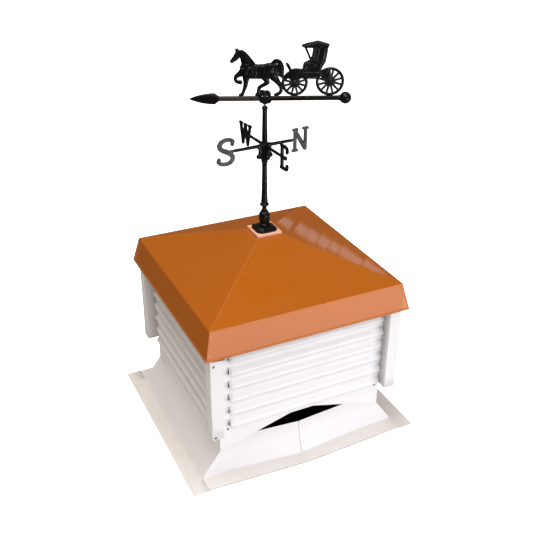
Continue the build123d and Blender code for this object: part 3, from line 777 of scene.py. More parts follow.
# The rivets are painted pale copper: a painted highlight on their heads.
rivet_highlight_paint = copper_paint("rivet_highlight_paint", (0.72, 0.34, 0.20), (0.6, 0.3, 0.2))

bm_tabs = bmesh.new()
bm_rivets = bmesh.new()
for quarter in range(4):
    turn = Matrix.Rotation(quarter * math.pi / 2, 4, "Z")
    corners = []
    for along, up in tab_outline:
        back = -fascia_out + tab_behind + max(0, up) * math.tan(lean)
        corners.append(bm_tabs.verts.new(turn @ Vector((-fascia_out + along, back, roof_low.z + up))))
    bm_tabs.faces.new(corners)
    for up in rivet_heights:
        out = fascia_out - up * math.tan(lean)
        stand = turn @ Matrix.Translation((-out + rivet_inset, -out, roof_low.z + up))
        tiers(bm_rivets, stand @ Matrix.Rotation(math.pi / 2 - lean, 4, "X"), 12,
              (0, 0.8, 2.6, 2.34), (0.8, 1.4, 2.34, 1.17))
bmesh.ops.recalc_face_normals(bm_tabs, faces=bm_tabs.faces)
tabs = finished(bm_tabs, "fascia_laps", shaded_tab_paint)
thicken(tabs, roof_sheet)
fit(tabs, "housing", "copper_sheet")
fit(finished(bm_rivets, "fascia_rivets", rivet_highlight_paint), "housing", "copper_sheet")


# ---- Apex plate ------------------------------------------------------------------------
# A square cap of bright copper over the peak, its four edges turned down on to the slopes.
# The edges carry a painted highlight along their bends.
plate_low, plate_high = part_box("apex_plate")
plate_size = plate_high - plate_low
plate_fold = 2.2 * MM
plate_ripple = 0.8 * MM

apex_copper = copper_paint(
    "apex_copper", (0.86, 0.44, 0.30), (0.74, 0.36, 0.24), gloss=0.26, buckle=0.0004)

bm = bmesh.new()
bmesh.ops.create_cube(bm, size=1, matrix=Matrix.Translation((0, 0, (plate_low.z + plate_high.z) / 2))
                      @ Matrix.Diagonal((2 * plate_high.x, 2 * plate_high.x, plate_size.z, 1)))
under = [face for face in bm.faces if face.normal.z < -0.5]
bmesh.ops.delete(bm, geom=under, context="FACES")
round_folds(bm, plate_fold, lambda edge: True, steps=4)
for corner in bm.verts:
    if corner.co.z < plate_low.z + touch:
        corner.co.z += plate_ripple * abs(grain.noise(Vector((corner.co.x * 40, corner.co.y * 40, 0))))
cap = finished(bm, "apex_cap", apex_copper)
thicken(cap)
fit(cap, "housing", "apex_copper", "apex_plate")


# ---- Roof mount ------------------------------------------------------------------------
# A cast foot on the apex cap: a low pyramid with its corners cut off, a raised boss under the
# clamp and a bolt at each corner.  Black enamel over sand-cast aluminium.
mount_low, mount_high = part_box("vane_mount")
mount_half = mount_high.x / MM
mount_shoulder = mount_low.z + 5 * MM
mount_top = mount_high.z / MM
mount_corner = 16
bolt_inset = 10
bolt_rise = 2.5

# Sand casting under enamel: fine grain, soft hammering, and a mask for edges and ridges that get rubbed wear
# and a painted highlight.
cast_grain, given, made = shader_group(
    "cast_grain", (("Grain", 0.00012), ("Hammer", 0.0), ("Rub", 0.5)), ("Height", "Rubbed", "Blotch"))
fine = reckon(cast_grain, "MULTIPLY", mottle(cast_grain, 420, 3), given["Grain"])
hammered = reckon(cast_grain, "MULTIPLY", mottle(cast_grain, 110, 2), given["Hammer"])
cast_grain.links.new(reckon(cast_grain, "ADD", fine, hammered), made["Height"])
bend = cast_grain.nodes.new("ShaderNodeNewGeometry").outputs["Pointiness"]
ridge = spread(cast_grain, bend, 0.52, 0.62, 0.0, 1.0)
patchy = spread(cast_grain, mottle(cast_grain, 160, 4), 0.4, 0.65, 0.2, 1.0)
worn = reckon(cast_grain, "MULTIPLY", ridge, patchy)
cast_grain.links.new(reckon(cast_grain, "MULTIPLY", worn, given["Rub"]), made["Rubbed"])
cast_grain.links.new(mottle(cast_grain, 45, 4), made["Blotch"])


def black_enamel(name, colour, cloudy, rubbed_and_highlight, gloss, hammer=0.0, sand=0.00012, rub_and_highlight=0.5):
    """Enamel over a sand casting: near black, and greyer on edges and ridges: rubbed wear with a painted
    highlight.
    """
    finish, tree, shader = new_finish(name)
    skin = place_group(tree, cast_grain, Grain=sand, Hammer=hammer, Rub=rub_and_highlight)
    tone = blend(tree, spread(tree, skin["Blotch"], 0.35, 0.7, 0.0, 1.0), colour, cloudy)
    dress(tree, shader, blend(tree, skin["Rubbed"], tone, rubbed_and_highlight),
          spread(tree, skin["Blotch"], 0.3, 0.7, gloss, gloss + 0.12), skin["Height"],
          Specular_IOR_Level=0.20)
    return finish


enamel = black_enamel(
    "black_enamel", (0.0018, 0.0018, 0.0022), (0.004, 0.0038, 0.004), (0.03, 0.029, 0.029), 0.22)


def join_to(bm, part, placed=None):
    """Adds one bmesh to another, moved to its place."""
    if placed is not None:
        bmesh.ops.transform(part, matrix=placed, verts=part.verts)
    carrier = bpy.data.meshes.new("carrier")
    part.to_mesh(carrier)
    part.free()
    bm.from_mesh(carrier)
    bpy.data.meshes.remove(carrier)


def wrap(bm, part):
    """Wraps the points of a part in the tightest convex skin and adds it."""
    bmesh.ops.delete(part, geom=part.edges[:], context="EDGES_FACES")
    hull = bmesh.ops.convex_hull(part, input=part.verts)
    inner = set(verts_of(hull["geom_interior"] + hull["geom_unused"]))
    bmesh.ops.delete(part, geom=list(inner), context="VERTS")
    join_to(bm, part)


def lump(bm, *places):
    """Several ellipsoids in millimetres, each (centre, radii), wrapped in one tight skin."""
    part = bmesh.new()
    for centre, radii in places:
        bmesh.ops.create_uvsphere(
            part, u_segments=16, v_segments=10, radius=MM,
            matrix=Matrix.Translation(Vector(centre) * MM) @ Matrix.Diagonal((*radii, 1)))
    wrap(bm, part)


def cast(bm, name, finish, body, slot, *nodes, placed=Matrix.Identity(4), grain_size=0.9, softened=2):
    """Melts overlapping shapes into one skin, softens its edges and fits it in its place."""
    rough = bpy.data.meshes.new("rough")
    bmesh.ops.recalc_face_normals(bm, faces=bm.faces)
    bm.to_mesh(rough)
    bm.free()
    pattern = bpy.data.objects.new("pattern", rough)
    scene.collection.objects.link(pattern)
    melt = pattern.modifiers.new("melt", "REMESH")
    melt.mode = "VOXEL"
    melt.voxel_size = grain_size * MM
    melted = bpy.data.meshes.new_from_object(pattern.evaluated_get(bpy.context.evaluated_depsgraph_get()))
    bpy.data.objects.remove(pattern)
    skin = bmesh.new()
    skin.from_mesh(melted)
    bpy.data.meshes.remove(melted)
    bpy.data.meshes.remove(rough)
    for stroke in range(softened):
        bmesh.ops.smooth_vert(
            skin, verts=skin.verts, factor=0.5, use_axis_x=True, use_axis_y=True, use_axis_z=True)
    bmesh.ops.transform(skin, matrix=placed, verts=skin.verts)
    fit(finished(skin, name, finish, crease=180), body, slot, *nodes)


bm = bmesh.new()
quarters = [(x, y) for x in (-1, 1) for y in (-1, 1)]
for low, high, foot, top in (
        (mount_low.z, mount_shoulder, 1.0, 0.97), (mount_shoulder, mount_high.z, 0.93, 0.60)):
    tier = bmesh.new()
    for height, scale in ((low, foot), (high, top)):
        for one, two in ((mount_half, mount_half - mount_corner), (mount_half - mount_corner, mount_half)):
            for x, y in quarters:
                tier.verts.new(Vector((x * one * scale, y * two * scale, height / MM)) * MM)
    wrap(bm, tier)
for x, y in quarters:
    bolt = mount_half - bolt_inset
    lump(bm, ((x * bolt, y * bolt, mount_shoulder / MM + bolt_rise), (4.6, 4.6, 3.0)))
    lump(bm, ((x * 13, y * 13, mount_top - 4), (8, 8, 5)), ((x * 22, y * 22, mount_top - 8), (5, 5, 3)))
cast(bm, "roof_mount", enamel, "housing", "black_casting", "vane_mount", softened=3)


# ---- Mast clamp ------------------------------------------------------------------------
# A cast socket like a bulb with four swelling lobes, a rolled lip at its top and a square-
# headed set screw in front, which grips the foot of the mast.
clamp_low, clamp_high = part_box("mast_clamp")
clamp_radius = clamp_high.x / MM
clamp_foot = clamp_low.z / MM
clamp_rise = (clamp_high.z - clamp_low.z) / MM
first_lobe = math.radians(23)
lobe_reach = clamp_radius - 6.6

bm = bmesh.new()
lump(bm, ((0, 0, clamp_foot + 0.44 * clamp_rise), (clamp_radius - 2.5, clamp_radius - 2.5, 25)),
     ((0, 0, clamp_foot + 0.64 * clamp_rise), (clamp_radius - 2, clamp_radius - 2, 20)))
lump(bm, ((0, 0, clamp_foot + 6), (clamp_radius - 3, clamp_radius - 3, 6)),
     ((0, 0, clamp_foot + 4), (clamp_radius - 1, clamp_radius - 1, 3.8)))
lump(bm, ((0, 0, clamp_high.z / MM - 4.2), (14, 14, 4.2)))
for lobe in range(4):
    turn = first_lobe + lobe * math.pi / 2
    across = lobe_reach * math.cos(turn)
    along = lobe_reach * math.sin(turn)
    lump(bm, ((across, along, clamp_foot + 0.50 * clamp_rise), (8, 8, 15)),
         ((0.78 * across, 0.78 * along, clamp_foot + 0.80 * clamp_rise), (6, 6, 6)))
lump(bm, ((7, -clamp_radius + 2.5, clamp_foot + 0.62 * clamp_rise), (4.6, 5.2, 4.6)))
cast(bm, "mast_clamp_casting", enamel, "housing", "black_casting", "mast_clamp")


# ---- Masts -----------------------------------------------------------------------------
# Two turned castings: a lower mast with a ringed collar over a thin neck, tapering upward,
# and an upper one that ends in a knob.  Both have a hammered skin under the enamel.
mast_segments = 32
longest_step = 9 * MM
collar_rise = 22.4
knob_rise = 124.5

mast_enamel = black_enamel(
    "mast_enamel", (0.0018, 0.0018, 0.0022), (0.005, 0.0045, 0.0048), (0.05, 0.048, 0.047), 0.18,
    hammer=0.0016, rub_and_highlight=0.8)


def skinned(bm, segments, *hoops):
    """A closed skin over hoops of (radius in metres, stand), from one end to the other."""
    rings = []
    for radius, stand in hoops:
        ring = bmesh.ops.create_circle(bm, segments=segments, radius=radius, matrix=stand)["verts"]
        rings.append(list({edge for point in ring for edge in point.link_edges}))
    for near, far in zip(rings, rings[1:]):
        bmesh.ops.bridge_loops(bm, edges=near + far)
    for ring in (rings[0], rings[-1]):
        bmesh.ops.contextual_create(bm, geom=ring)
    bmesh.ops.recalc_face_normals(bm, faces=bm.faces)


def turned(bm, *stops):
    """A solid of revolution about the mast from stops of (height, radius), foot to top."""
    skinned(bm, mast_segments, *[
        (radius * MM, Matrix.Translation((0, 0, height * MM))) for height, radius in stops])


lower_low, lower_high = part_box("lower_mast")
foot = lower_low.z / MM
top = lower_high.z / MM
collar = foot + collar_rise
collar_radius = lower_high.x / MM
bm = bmesh.new()
turned(bm, (foot, 9), (foot + 1, 10), (foot + 3, 10), (foot + 6, 8.2), (collar - 10, 7.8),
       (collar - 8, 10), (collar - 5.5, 14), (collar - 2.6, collar_radius - 0.7), (collar, collar_radius),
       (collar + 2.6, collar_radius - 0.7), (collar + 5.5, 14), (collar + 7.2, 11.6), (collar + 9, 10.8),
       (collar + 11, 12.4), (collar + 14, 12.8), (collar + 18, 11.8), (collar + 40, 10.9),
       (collar + 75, 10.2), (collar + 110, 9.6), (top - 26, 9.2), (top - 16, 9.2), (top - 8, 9.8),
       (top - 5, 11.4), (top - 1, 12), (top, 11))
for halving in range(3):
    bmesh.ops.subdivide_edges(bm, edges=[
        edge for edge in bm.edges
        if abs(edge.verts[0].co.z - edge.verts[1].co.z) > longest_step], cuts=1)
fit(finished(bm, "lower_mast_casting", mast_enamel, crease=60), "housing", "black_casting", "lower_mast")

upper_low, upper_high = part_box("upper_mast")
foot = upper_low.z / MM
top = upper_high.z / MM
knob = foot + knob_rise
knob_radius = upper_high.x / MM
bm = bmesh.new()
turned(bm, (foot, 10.4), (foot + 1, 11), (foot + 4, 11), (foot + 6, 9.2), (foot + 10, 10.2),
       (foot + 60, 9.2), (knob - 19, 8.4), (knob - 16, 8.0), (knob - 14.5, 9.2), (knob - 12.5, 9.4),
       (knob - 10.8, 8.0), (knob - 9.6, 7.2), (knob - 7.6, 8.4), (knob - 4, knob_radius - 0.5),
       (knob, knob_radius), (knob + 3.6, knob_radius - 1), (knob + 6.5, 7.8), (top - 1, 6), (top, 5))
fit(finished(bm, "upper_mast_casting", mast_enamel, crease=60), "housing", "black_casting", "upper_mast")


# ---- Spindle ---------------------------------------------------------------------------
# The bright steel pin on which the vane turns: the CAD solid as it is, drawn bar with fine
# lines round it and a film of grease.
steel = bare_metal(
    "drawn_steel", (60, 2, (1, 1, 60)), (0.30, 0.29, 0.28), (0.48, 0.46, 0.44), 0.25, 0.42, 1.0, 0.00003)
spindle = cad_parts["spindle"]
if not spindle.material_slots:
    spindle.data.materials.append(steel)
for place in spindle.material_slots:
    place.material = steel


# ---- Direction hub ---------------------------------------------------------------------
# A cast sleeve between the masts with four arms' roots, each on a scrolled bracket that curls
# in under its arm and ends in a ball.
hub_low, hub_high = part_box("direction_hub")
hub_foot = hub_low.z / MM
hub_top = hub_high.z / MM
arm_low, arm_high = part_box("north_arm")
arm_height = (arm_low.z + arm_high.z) / 2 / MM
arm_turn = math.radians(3.3)


def limb(bm, *stops, flat=0.6, offset=0.0, fuller=1.7):
    """A tapering limb through stops of (along, up, radius[, half thickness]).

    It is laid on a little fuller than its stops, since the softening takes that much off."""
    for pair in zip(stops, stops[1:]):
        lump(bm, *[
            ((stop[0], offset, stop[1]),
             (stop[2] + fuller, stop[3] if len(stop) > 3 else stop[2] * flat, stop[2] + fuller))
            for stop in pair])


def at_arm_height(turn, along=0.0):
    """Stands a shape on the arms' level, some way out along an arm's direction."""
    return Matrix.Rotation(turn, 4, "Z") @ Matrix.Translation((along * MM, 0, arm_height * MM))


bm = bmesh.new()
lump(bm, ((0, 0, hub_foot + 4), (12.5, 12.5, 4)), ((0, 0, hub_foot + 8), (11, 11, 4)))
lump(bm, ((0, 0, hub_foot + 10), (14, 14, 6)), ((0, 0, hub_top - 9), (14, 14, 6)))
lump(bm, ((0, 0, hub_top - 4), (12, 12, 3.8)))
for quarter in range(4):
    part = bmesh.new()
    limb(part, (4, 0, 9, 5.6), (16, 0, 7.4, 5.2), (27, 0, 5.4, 4.4))
    limb(part, (27, -1, 4.4, 4.6), (20.5, -7, 5.2, 5.0), (17, -16, 5.6, 5.4), (17.5, -26, 5.6, 5.6),
         (20.5, -35, 5.2, 5.4))
    limb(part, (9, -12, 7, 5), (11, -43, 7, 5))
    lump(part, ((23.2, 0, -38.5), (9.4, 9.0, 9.2)))
    join_to(bm, part, at_arm_height(arm_turn + quarter * math.pi / 2))
cast(bm, "direction_hub_casting", enamel, "housing", "black_casting", "direction_hub")


# ---- Direction arms --------------------------------------------------------------------
# Four tapering arms of black-enamelled casting, screwed into the hub: thick at the root and
# thin at the outer end, where each carries its letter.
for arm_name, quarter in (("north", 0), ("west", 1), ("south", 2), ("east", 3)):
    low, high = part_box(f"{arm_name}_arm")
    reach = max(abs(low.x), abs(high.x), abs(low.y), abs(high.y)) / MM
    bm = bmesh.new()
    limb(bm, (16, 0, 5.2, 4.8), (45, 0, 4.9, 4.6), (80, 0, 4.5, 4.3), (reach - 3, 0, 4.2, 4.1))
    limb(bm, (17, 0, 5.6, 5.2), (28, 0, 5.4, 5.2))
    cast(bm, f"{arm_name}_arm_casting", enamel, "housing", "black_casting", f"{arm_name}_arm",
         placed=at_arm_height(arm_turn + quarter * math.pi / 2), grain_size=0.8)


# ---- Direction letters -----------------------------------------------------------------
# Four serifed letters, flat castings with soft edges and ball ends; the N and S are left rougher
# and painted greyer, a painted sheen where they face the light.  The bars of the S and the E run on into
# their arms.
letter_half = 3.6
letter_reach = 113.0

lit_letter_enamel = black_enamel(
    "lit_letter_enamel", (0.026, 0.025, 0.027), (0.085, 0.083, 0.087), (0.16, 0.155, 0.16), 0.36,
    hammer=0.0012, sand=0.0004, rub_and_highlight=0.7)

letter_strokes = {
    "n": (arm_turn, letter_reach + 32, (
        ((-21, -40, 5.0), (-21, 35, 5.0)), ((-22, 34, 6.4), (21, -38, 6.6)), ((22, -39, 5.0), (22, 36, 5.0)),
        ((-28, 36.5, 4.0), (-14, 36.5, 4.6)), ((-29.5, -41, 4.0), (-12.5, -41, 4.0)),
        ((13.5, 37.5, 4.0), (30, 37.5, 4.0)), ((-36, 0, 3.4), (-21, 0, 3.6)))),
    "s": (arm_turn, -letter_reach - 39, (
        ((24.5, 25, 5.2), (27, 36, 6.0), (19, 41.5, 5.6), (8, 44, 5.6), (-6, 43, 6), (-18, 37, 6.8),
         (-24.5, 27, 7.2), (-22, 16, 7.4), (-11, 7, 7.6), (6, -1, 7.8), (18, -9, 7.8), (26, -20, 7.2),
         (25, -31, 6.8), (16, -40, 6), (3, -43.5, 5.8), (-12, -42, 5.8), (-24, -38, 5.6),
         (-29, -31, 6.2), (-26.5, -23, 5.0)),
        ((0, 0, 4.0), (30, 0, 3.6)))),
    "w": (arm_turn - math.pi / 2, -letter_reach - 34, (
        ((-34, 30, 5.8), (-18, -40, 5.8)), ((-18, -40, 5.0), (1, 30, 4.8)), ((1, 30, 5.6), (19, -38, 5.8)),
        ((19, -38, 5.0), (37, 34, 4.8)), ((-40, 31.5, 3.6), (-26, 31.5, 3.6)), ((-5, 32, 3.6), (8, 32, 3.6)),
        ((29, 35.5, 3.6), (43, 35.5, 3.6)), ((27, 0, 3.6), (33.5, 0, 3.4)))),
    "e": (arm_turn - math.pi / 2, letter_reach + 25, (
        ((-15, -38, 6.0), (-15, 38, 6.0)),
        ((-21, 39.5, 4.4), (9, 39.5, 4.6), (17, 36, 5.0), (19.5, 28, 5.0)),
        ((19.5, 28, 5.2), (17.5, 23, 4.4)),
        ((-21, -39.5, 4.4), (7, -39.5, 4.4), (17, -37, 5.4), (20, -29, 4.8)),
        ((20, -29, 5.2), (19, -24, 4.6)), ((-23, 0, 3.8), (4, 0, 4.0)), ((4, 0, 5.2), (8.5, 0, 6.2))))}


def ribbon(bm, half, *stops, fuller=1.3):
    """A flat-faced stroke through stops of (along, up, radius), its faces half away each side."""
    for pair in zip(stops, stops[1:]):
        part = bmesh.new()
        for along, up, radius in pair:
            stand = Matrix.Translation(Vector((along, 0, up)) * MM) @ Matrix.Rotation(math.pi / 2, 4, "X")
            bmesh.ops.create_cone(
                part, segments=20, radius1=(radius + fuller) * MM, radius2=(radius + fuller) * MM,
                depth=2 * half * MM, matrix=stand)
        wrap(bm, part)


for letter, (turn, middle, strokes) in letter_strokes.items():
    bm = bmesh.new()
    for stroke in strokes:
        ribbon(bm, letter_half, *stroke)
    # The N and S take the greyer enamel: a painted sheen on the letters that face the light.
    cast(bm, f"letter_{letter}_casting", lit_letter_enamel if letter in "ns" else enamel, "housing",
         "black_letters", f"letter_{letter}", placed=at_arm_height(turn, middle), softened=3)


# ---- Vane socket -----------------------------------------------------------------------
# A bored sleeve that drops over the spindle, in the middle of a knot of two ribbon rings that
# cross and join the two halves of the bar.
vane_turn = math.radians(-22.7)
bar_low, bar_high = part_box("vane_bar_rear")
bar_top = bar_high.z / MM
bar_axis = (bar_low.z + bar_high.z) / 2 / MM - bar_top
socket_low, socket_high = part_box("vane_socket")
socket_foot = socket_low.z / MM
vane_frame = Matrix.Rotation(vane_turn, 4, "Z") @ Matrix.Translation((0, 0, bar_top * MM))
sleeve_radius = 7.4
bore_radius = 3.45
bore_top = 36.0
knot_middle = (socket_low.z + socket_high.z) / 2 / MM - bar_top + 2.5
ring_half_width = 11.2
ring_sway = 9.9
ribbon_radius = 4.9

bm = bmesh.new()
section = (
    (bore_radius, 0.2), (sleeve_radius - 0.8, 0.2), (sleeve_radius, 1.2), (sleeve_radius, 40),
    (sleeve_radius - 1.2, 43), (0.0, 43.8), (0.0, bore_top), (bore_radius, bore_top))
rim = [bm.verts.new(Vector((radius, 0, socket_foot + up)) * MM) for radius, up in section]
runs = [bm.edges.new(pair) for pair in zip(rim, rim[1:] + rim[:1])]
bmesh.ops.spin(
    bm, geom=rim + runs, cent=(0, 0, 0), axis=(0, 0, 1), angle=2 * math.pi, steps=28, use_merge=True)
bmesh.ops.remove_doubles(bm, verts=bm.verts, dist=touch)
bmesh.ops.dissolve_degenerate(bm, edges=bm.edges, dist=touch / 10)
bmesh.ops.recalc_face_normals(bm, faces=bm.faces)
fit(finished(bm, "vane_socket_sleeve", mast_enamel, crease=50), "vane", "black_casting", "vane_socket")

bm = bmesh.new()
for slant, ring_half_length in ((math.radians(46), 20.5), (math.radians(-42), 24.0)):
    stops = []
    for step in range(25):
        around = 2 * math.pi * step / 24
        along = ring_half_length * math.cos(around)
        across = ring_half_width * math.sin(around)
        stops.append((
            along * math.cos(slant) - across * math.sin(slant), ring_sway * math.sin(around),
            along * math.sin(slant) + across * math.cos(slant) + knot_middle))
    for pair in zip(stops, stops[1:]):
        lump(bm, *[(stop, (ribbon_radius, ribbon_radius, ribbon_radius)) for stop in pair])
for end in (-1, 1):
    limb(bm, (end * 13, bar_axis, 6.4, 5.6), (end * 21, bar_axis, 7.0, 5.8))
cast(bm, "vane_socket_knot", enamel, "vane", "black_casting", placed=vane_frame, grain_size=0.8)


# ---- Vane bar, arrow head and ball -----------------------------------------------------
# A moulded bar in two halves with a leaf-shaped head in front and a ball on a conical neck
# behind, all sand castings; the front half is the rougher and browner one.
section_points = 20
bar_stations = 36
bar_half_thickness = 6.6
groove_low = 1.4
groove_high = 4.2
groove_narrowing = 0.86
bar_wander = 0.35
midrib_half = 1.0
midrib_length = 84
midrib_swell = 1.12
ball_radius = 20.5

brown_enamel = black_enamel(
    "brown_enamel", (0.016, 0.013, 0.012), (0.036, 0.026, 0.022), (0.12, 0.09, 0.08), 0.34,
    hammer=0.0008, sand=0.00035)


def lofted(bm, *stops):
    """A skin through oval sections of (along, half height, half thickness), with closed ends."""
    skinned(bm, section_points, *[
        (MM, Matrix.Translation((along * MM, 0, bar_axis * MM)) @ Matrix.Rotation(math.pi / 2, 4, "Y")
         @ Matrix.Diagonal((tall, thick, 1, 1))) for along, tall, thick in stops])


def span(node):
    """How far along the bar a CAD piece of the vane starts and ends, in millimetres."""
    heading = Vector((math.cos(vane_turn), math.sin(vane_turn)))
    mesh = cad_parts[node].data
    reaches = [heading.dot(Vector((corner.co.x, corner.co.y))) / MM for corner in mesh.vertices]
    return min(reaches), max(reaches)


def fit_to_vane(bm, node, finish, crease):
    """Sets a shape in the vane's place as the casting of a CAD piece."""
    bmesh.ops.transform(bm, matrix=vane_frame, verts=bm.verts)
    fit(finished(bm, f"{node}_casting", finish, crease=crease), "vane", "black_casting", node)


for half_name, finish, bar_half in (("front", brown_enamel, 8.4), ("rear", enamel, 8.0)):
    near, far = span(f"vane_bar_{half_name}")
    bm = bmesh.new()
    stops = []
    for station in range(bar_stations + 1):
        along = near + (far - near) * station / bar_stations
        wander = bar_wander * grain.noise(Vector((along * 0.11, 3, 0)))
        stops.append((along, bar_half - 0.2 + wander, bar_half_thickness + 0.6 * wander))
    lofted(bm, *stops)
    for corner in bm.verts:
        up = corner.co.z / MM - bar_axis
        tall = up / bar_half
        thick = corner.co.y / MM / (bar_half_thickness + 0.2)
        squarer = (tall * tall + thick * thick) ** 0.5 / (tall ** 4 + thick ** 4) ** 0.25
        corner.co.z += (min(bar_half, max(-bar_half, up * squarer)) - up) * MM
        corner.co.y *= squarer * (groove_narrowing if groove_low < abs(up) < groove_high else 1.0)
    fit_to_vane(bm, f"vane_bar_{half_name}", finish, 35)

tip = span("arrow_head")[0]
bm = bmesh.new()
lofted(bm, *[(tip + along, tall, thick) for along, tall, thick in (
    (0.2, 0.8, 0.4), (3, 2.6, 1.4), (12, 6.4, 3.0), (28, 11.6, 4.6), (46, 15.8, 5.8), (62, 18.4, 6.6),
    (74, 19.6, 7.0), (82, 19.9, 7.2), (88, 18.8, 7.6), (92, 16.2, 8.0), (97, 11.6, 8.2),
    (100, 9.2, 8.0), (102, 8.2, 7.0))])
for corner in bm.verts:
    up = abs(corner.co.z / MM - bar_axis)
    if up < midrib_half and corner.co.x / MM < tip + midrib_length:
        corner.co.y *= midrib_swell
fit_to_vane(bm, "arrow_head", enamel, 40)

neck, ball_end = span("tail_ball")
ball_middle = ball_end - ball_radius
bm = bmesh.new()
stops = [(neck, 7.4, 7.0), (neck + 1.5, 9.2, 9.2), (neck + 3, 9.4, 9.4), (neck + 4.5, 8.4, 8.4)]
for step in range(15):
    around = math.radians(150 - 150 * step / 14 if step < 14 else 2)
    along = ball_middle + ball_radius * math.cos(around)
    if along > neck + 6:
        stops.append((along, ball_radius * math.sin(around), ball_radius * math.sin(around)))
lofted(bm, *stops)
fit_to_vane(bm, "tail_ball", enamel, 60)


# ---- Horse -----------------------------------------------------------------------------
# A trotting horse cast in low relief on both sides and standing on the bar: one foreleg
# raised, a roached mane, a docked tail carried in an arch, and plain driving harness.
# The relief's ridges are painted far greyer than other castings: a painted highlight where light catches the
# muscles.
relief_enamel = black_enamel(
    "relief_enamel", (0.0018, 0.0018, 0.0024), (0.005, 0.0048, 0.0055), (0.16, 0.157, 0.162), 0.17,
    hammer=0.0011, rub_and_highlight=2.2)

bm = bmesh.new()

# The barrel, chest, quarters and neck, then the head with its ears and mane.
limb(bm, (-54, 87, 25.5, 8.8), (-24, 84, 23.5, 8.0), (6, 86, 24, 8.2))
limb(bm, (-61, 93, 23, 8.2), (-55, 98, 20, 7.6))
limb(bm, (14, 91, 22, 8.6), (19, 87, 18, 7.8))
limb(bm, (30, 99, 12.5, 6.6), (36, 82, 11, 6.2), (38, 70, 7, 4.6))
limb(bm, (-54, 103, 21, 7), (-62, 118, 17.0, 6.4), (-70, 134, 12.4, 5.6), (-80, 146, 9.4, 4.8))
limb(bm, (-82, 146, 9.4, 4.8), (-91, 142, 9.6, 5.0), (-97, 134, 7.6, 4.4), (-106, 124, 6.0, 3.8),
     (-110.5, 119.5, 5.4, 3.6))
limb(bm, (-92, 134, 6.4, 4.6), (-100, 125, 4.6, 3.6))
limb(bm, (-93, 149, 3.6, 2.2), (-97, 160, 1.5, 1.2), offset=-2.4)
limb(bm, (-89, 150, 3.6, 2.2), (-91.5, 159, 1.5, 1.2), offset=2.4)
limb(bm, (-87, 152.0, 3.8, 2.4), (-77, 151.5, 4.6, 2.8), (-67, 144, 5.0, 3.0), (-56, 132, 5.0, 3.0),
     (-46, 120, 4.6, 3.0), (-38, 112, 3.2, 2.6))

# The raised foreleg, the standing foreleg and the two hind legs, each with its hoof.
limb(bm, (-74, 84, 12, 5.8), (-85, 76, 8.4, 4.8), (-94, 71.5, 6.4, 4.2), (-99, 65, 5.2, 4),
     (-99.6, 57, 4.4, 3.4), (-96.4, 51.5, 4.4, 3.2), (-90, 49, 4.6, 3.2))
limb(bm, (-90, 49, 5.0, 3.6), (-83, 48.5, 6.2, 4.0))
limb(bm, (-62, 76, 14, 6.2), (-64, 60, 9.6, 5.2), (-64, 50, 7.4, 4.8), (-65.5, 38, 6.4, 4.4),
     (-69.5, 26, 4.8, 3.6), (-73.5, 14, 4.4, 3.4), (-77, 7, 4.6, 3.6))
limb(bm, (-77, 6.4, 4.6, 3.8), (-83.5, 4.2, 4.6, 4))
limb(bm, (4, 78, 16, 7), (-1, 66, 11, 5.8), (5, 56, 8.4, 5.0), (8.5, 47.5, 6.8, 4.6), (0, 41, 5.6, 4.0),
     (-12, 35, 5.0, 3.6), (-19.5, 29, 5.0, 3.6), (-22, 18, 4.4, 3.2), (-23.5, 9, 4.6, 3.4))
limb(bm, (-23.5, 9, 4.6, 3.6), (-27.5, 4.6, 4.8, 3.8))
limb(bm, (21, 80, 17.5, 7), (29, 67, 12.5, 6), (40, 53, 8.6, 5.0), (50, 41, 6.8, 4.4), (54.6, 31, 5.2, 3.8),
     (55.4, 18, 4.6, 3.4), (51, 11, 4.8, 3.6), (44, 7.4, 4.4, 3.6))
limb(bm, (45, 7.4, 4.6, 3.6), (37, 4.6, 5.0, 3.8))

# The tail.
limb(bm, (26, 111, 6, 3.6), (33, 118.5, 5.8, 3.6), (40.5, 120, 5.8, 3.8), (48, 115.5, 6.6, 4.0),
     (53.5, 106, 7.6, 4.2), (56, 94, 8.0, 4.2), (56.5, 82, 7.4, 4.0), (57.5, 71, 5.0, 3.2),
     (60, 62, 2.4, 2.2))
limb(bm, (47, 92, 3.2, 3.2), (49, 80, 3.6, 3.4), (52, 69, 2.6, 2.8))

# On both faces: shoulder, thigh, the muscles in low relief, and the straps of the harness.
muscles = (
    ((-77, 140, 2.6), (-70, 128, 3.0), (-58, 110, 2.2)), ((-62, 126, 2.2), (-50, 112, 2.6), (-42, 98, 1.8)),
    ((-64, 108, 2.4), (-70, 92, 3.2), (-62, 78, 2.4)), ((-47, 98, 2.0), (-44, 84, 2.8), (-50, 72, 2.0)),
    ((-8, 102, 1.8), (-2, 88, 2.4), (-10, 74, 1.6)), ((14, 106, 2.2), (6, 92, 3.0), (8, 76, 2.2)),
    ((32, 106, 2.8), (37, 92, 3.6), (34, 76, 2.8)), ((22, 96, 2.0), (20, 82, 2.6), (28, 68, 2.0)))
for side in (-1, 1):
    limb(bm, (-66, 84, 9, 3), (-58, 102, 8, 3), offset=side * 6.4)
    limb(bm, (10, 88, 11, 3.2), (20, 98, 9, 3), offset=side * 6.4)
    for muscle in muscles:
        swell = 4.2 if muscle[0][1] > 120 else 7.2
        limb(bm, *[(*stop, 2.0) for stop in muscle], offset=side * swell, fuller=0.5)
    limb(bm, (-31, 108, 1.6, 1.4), (-31, 66, 1.6, 1.4), offset=side * 7.9, fuller=0.4)
    limb(bm, (-84, 97, 1.4, 1.2), (-56, 92, 1.4, 1.2), (-31, 94, 1.4, 1.2), offset=side * 7.9, fuller=0.4)
    limb(bm, (-96, 146, 1.3, 1), (-98, 128, 1.3, 1), (-108, 120, 1.3, 1), offset=side * 4.6, fuller=0.6)
    limb(bm, (-91, 138, 4.2, 1.4), (-92, 136, 4.2, 1.4), offset=side * 4.4, fuller=0.6)
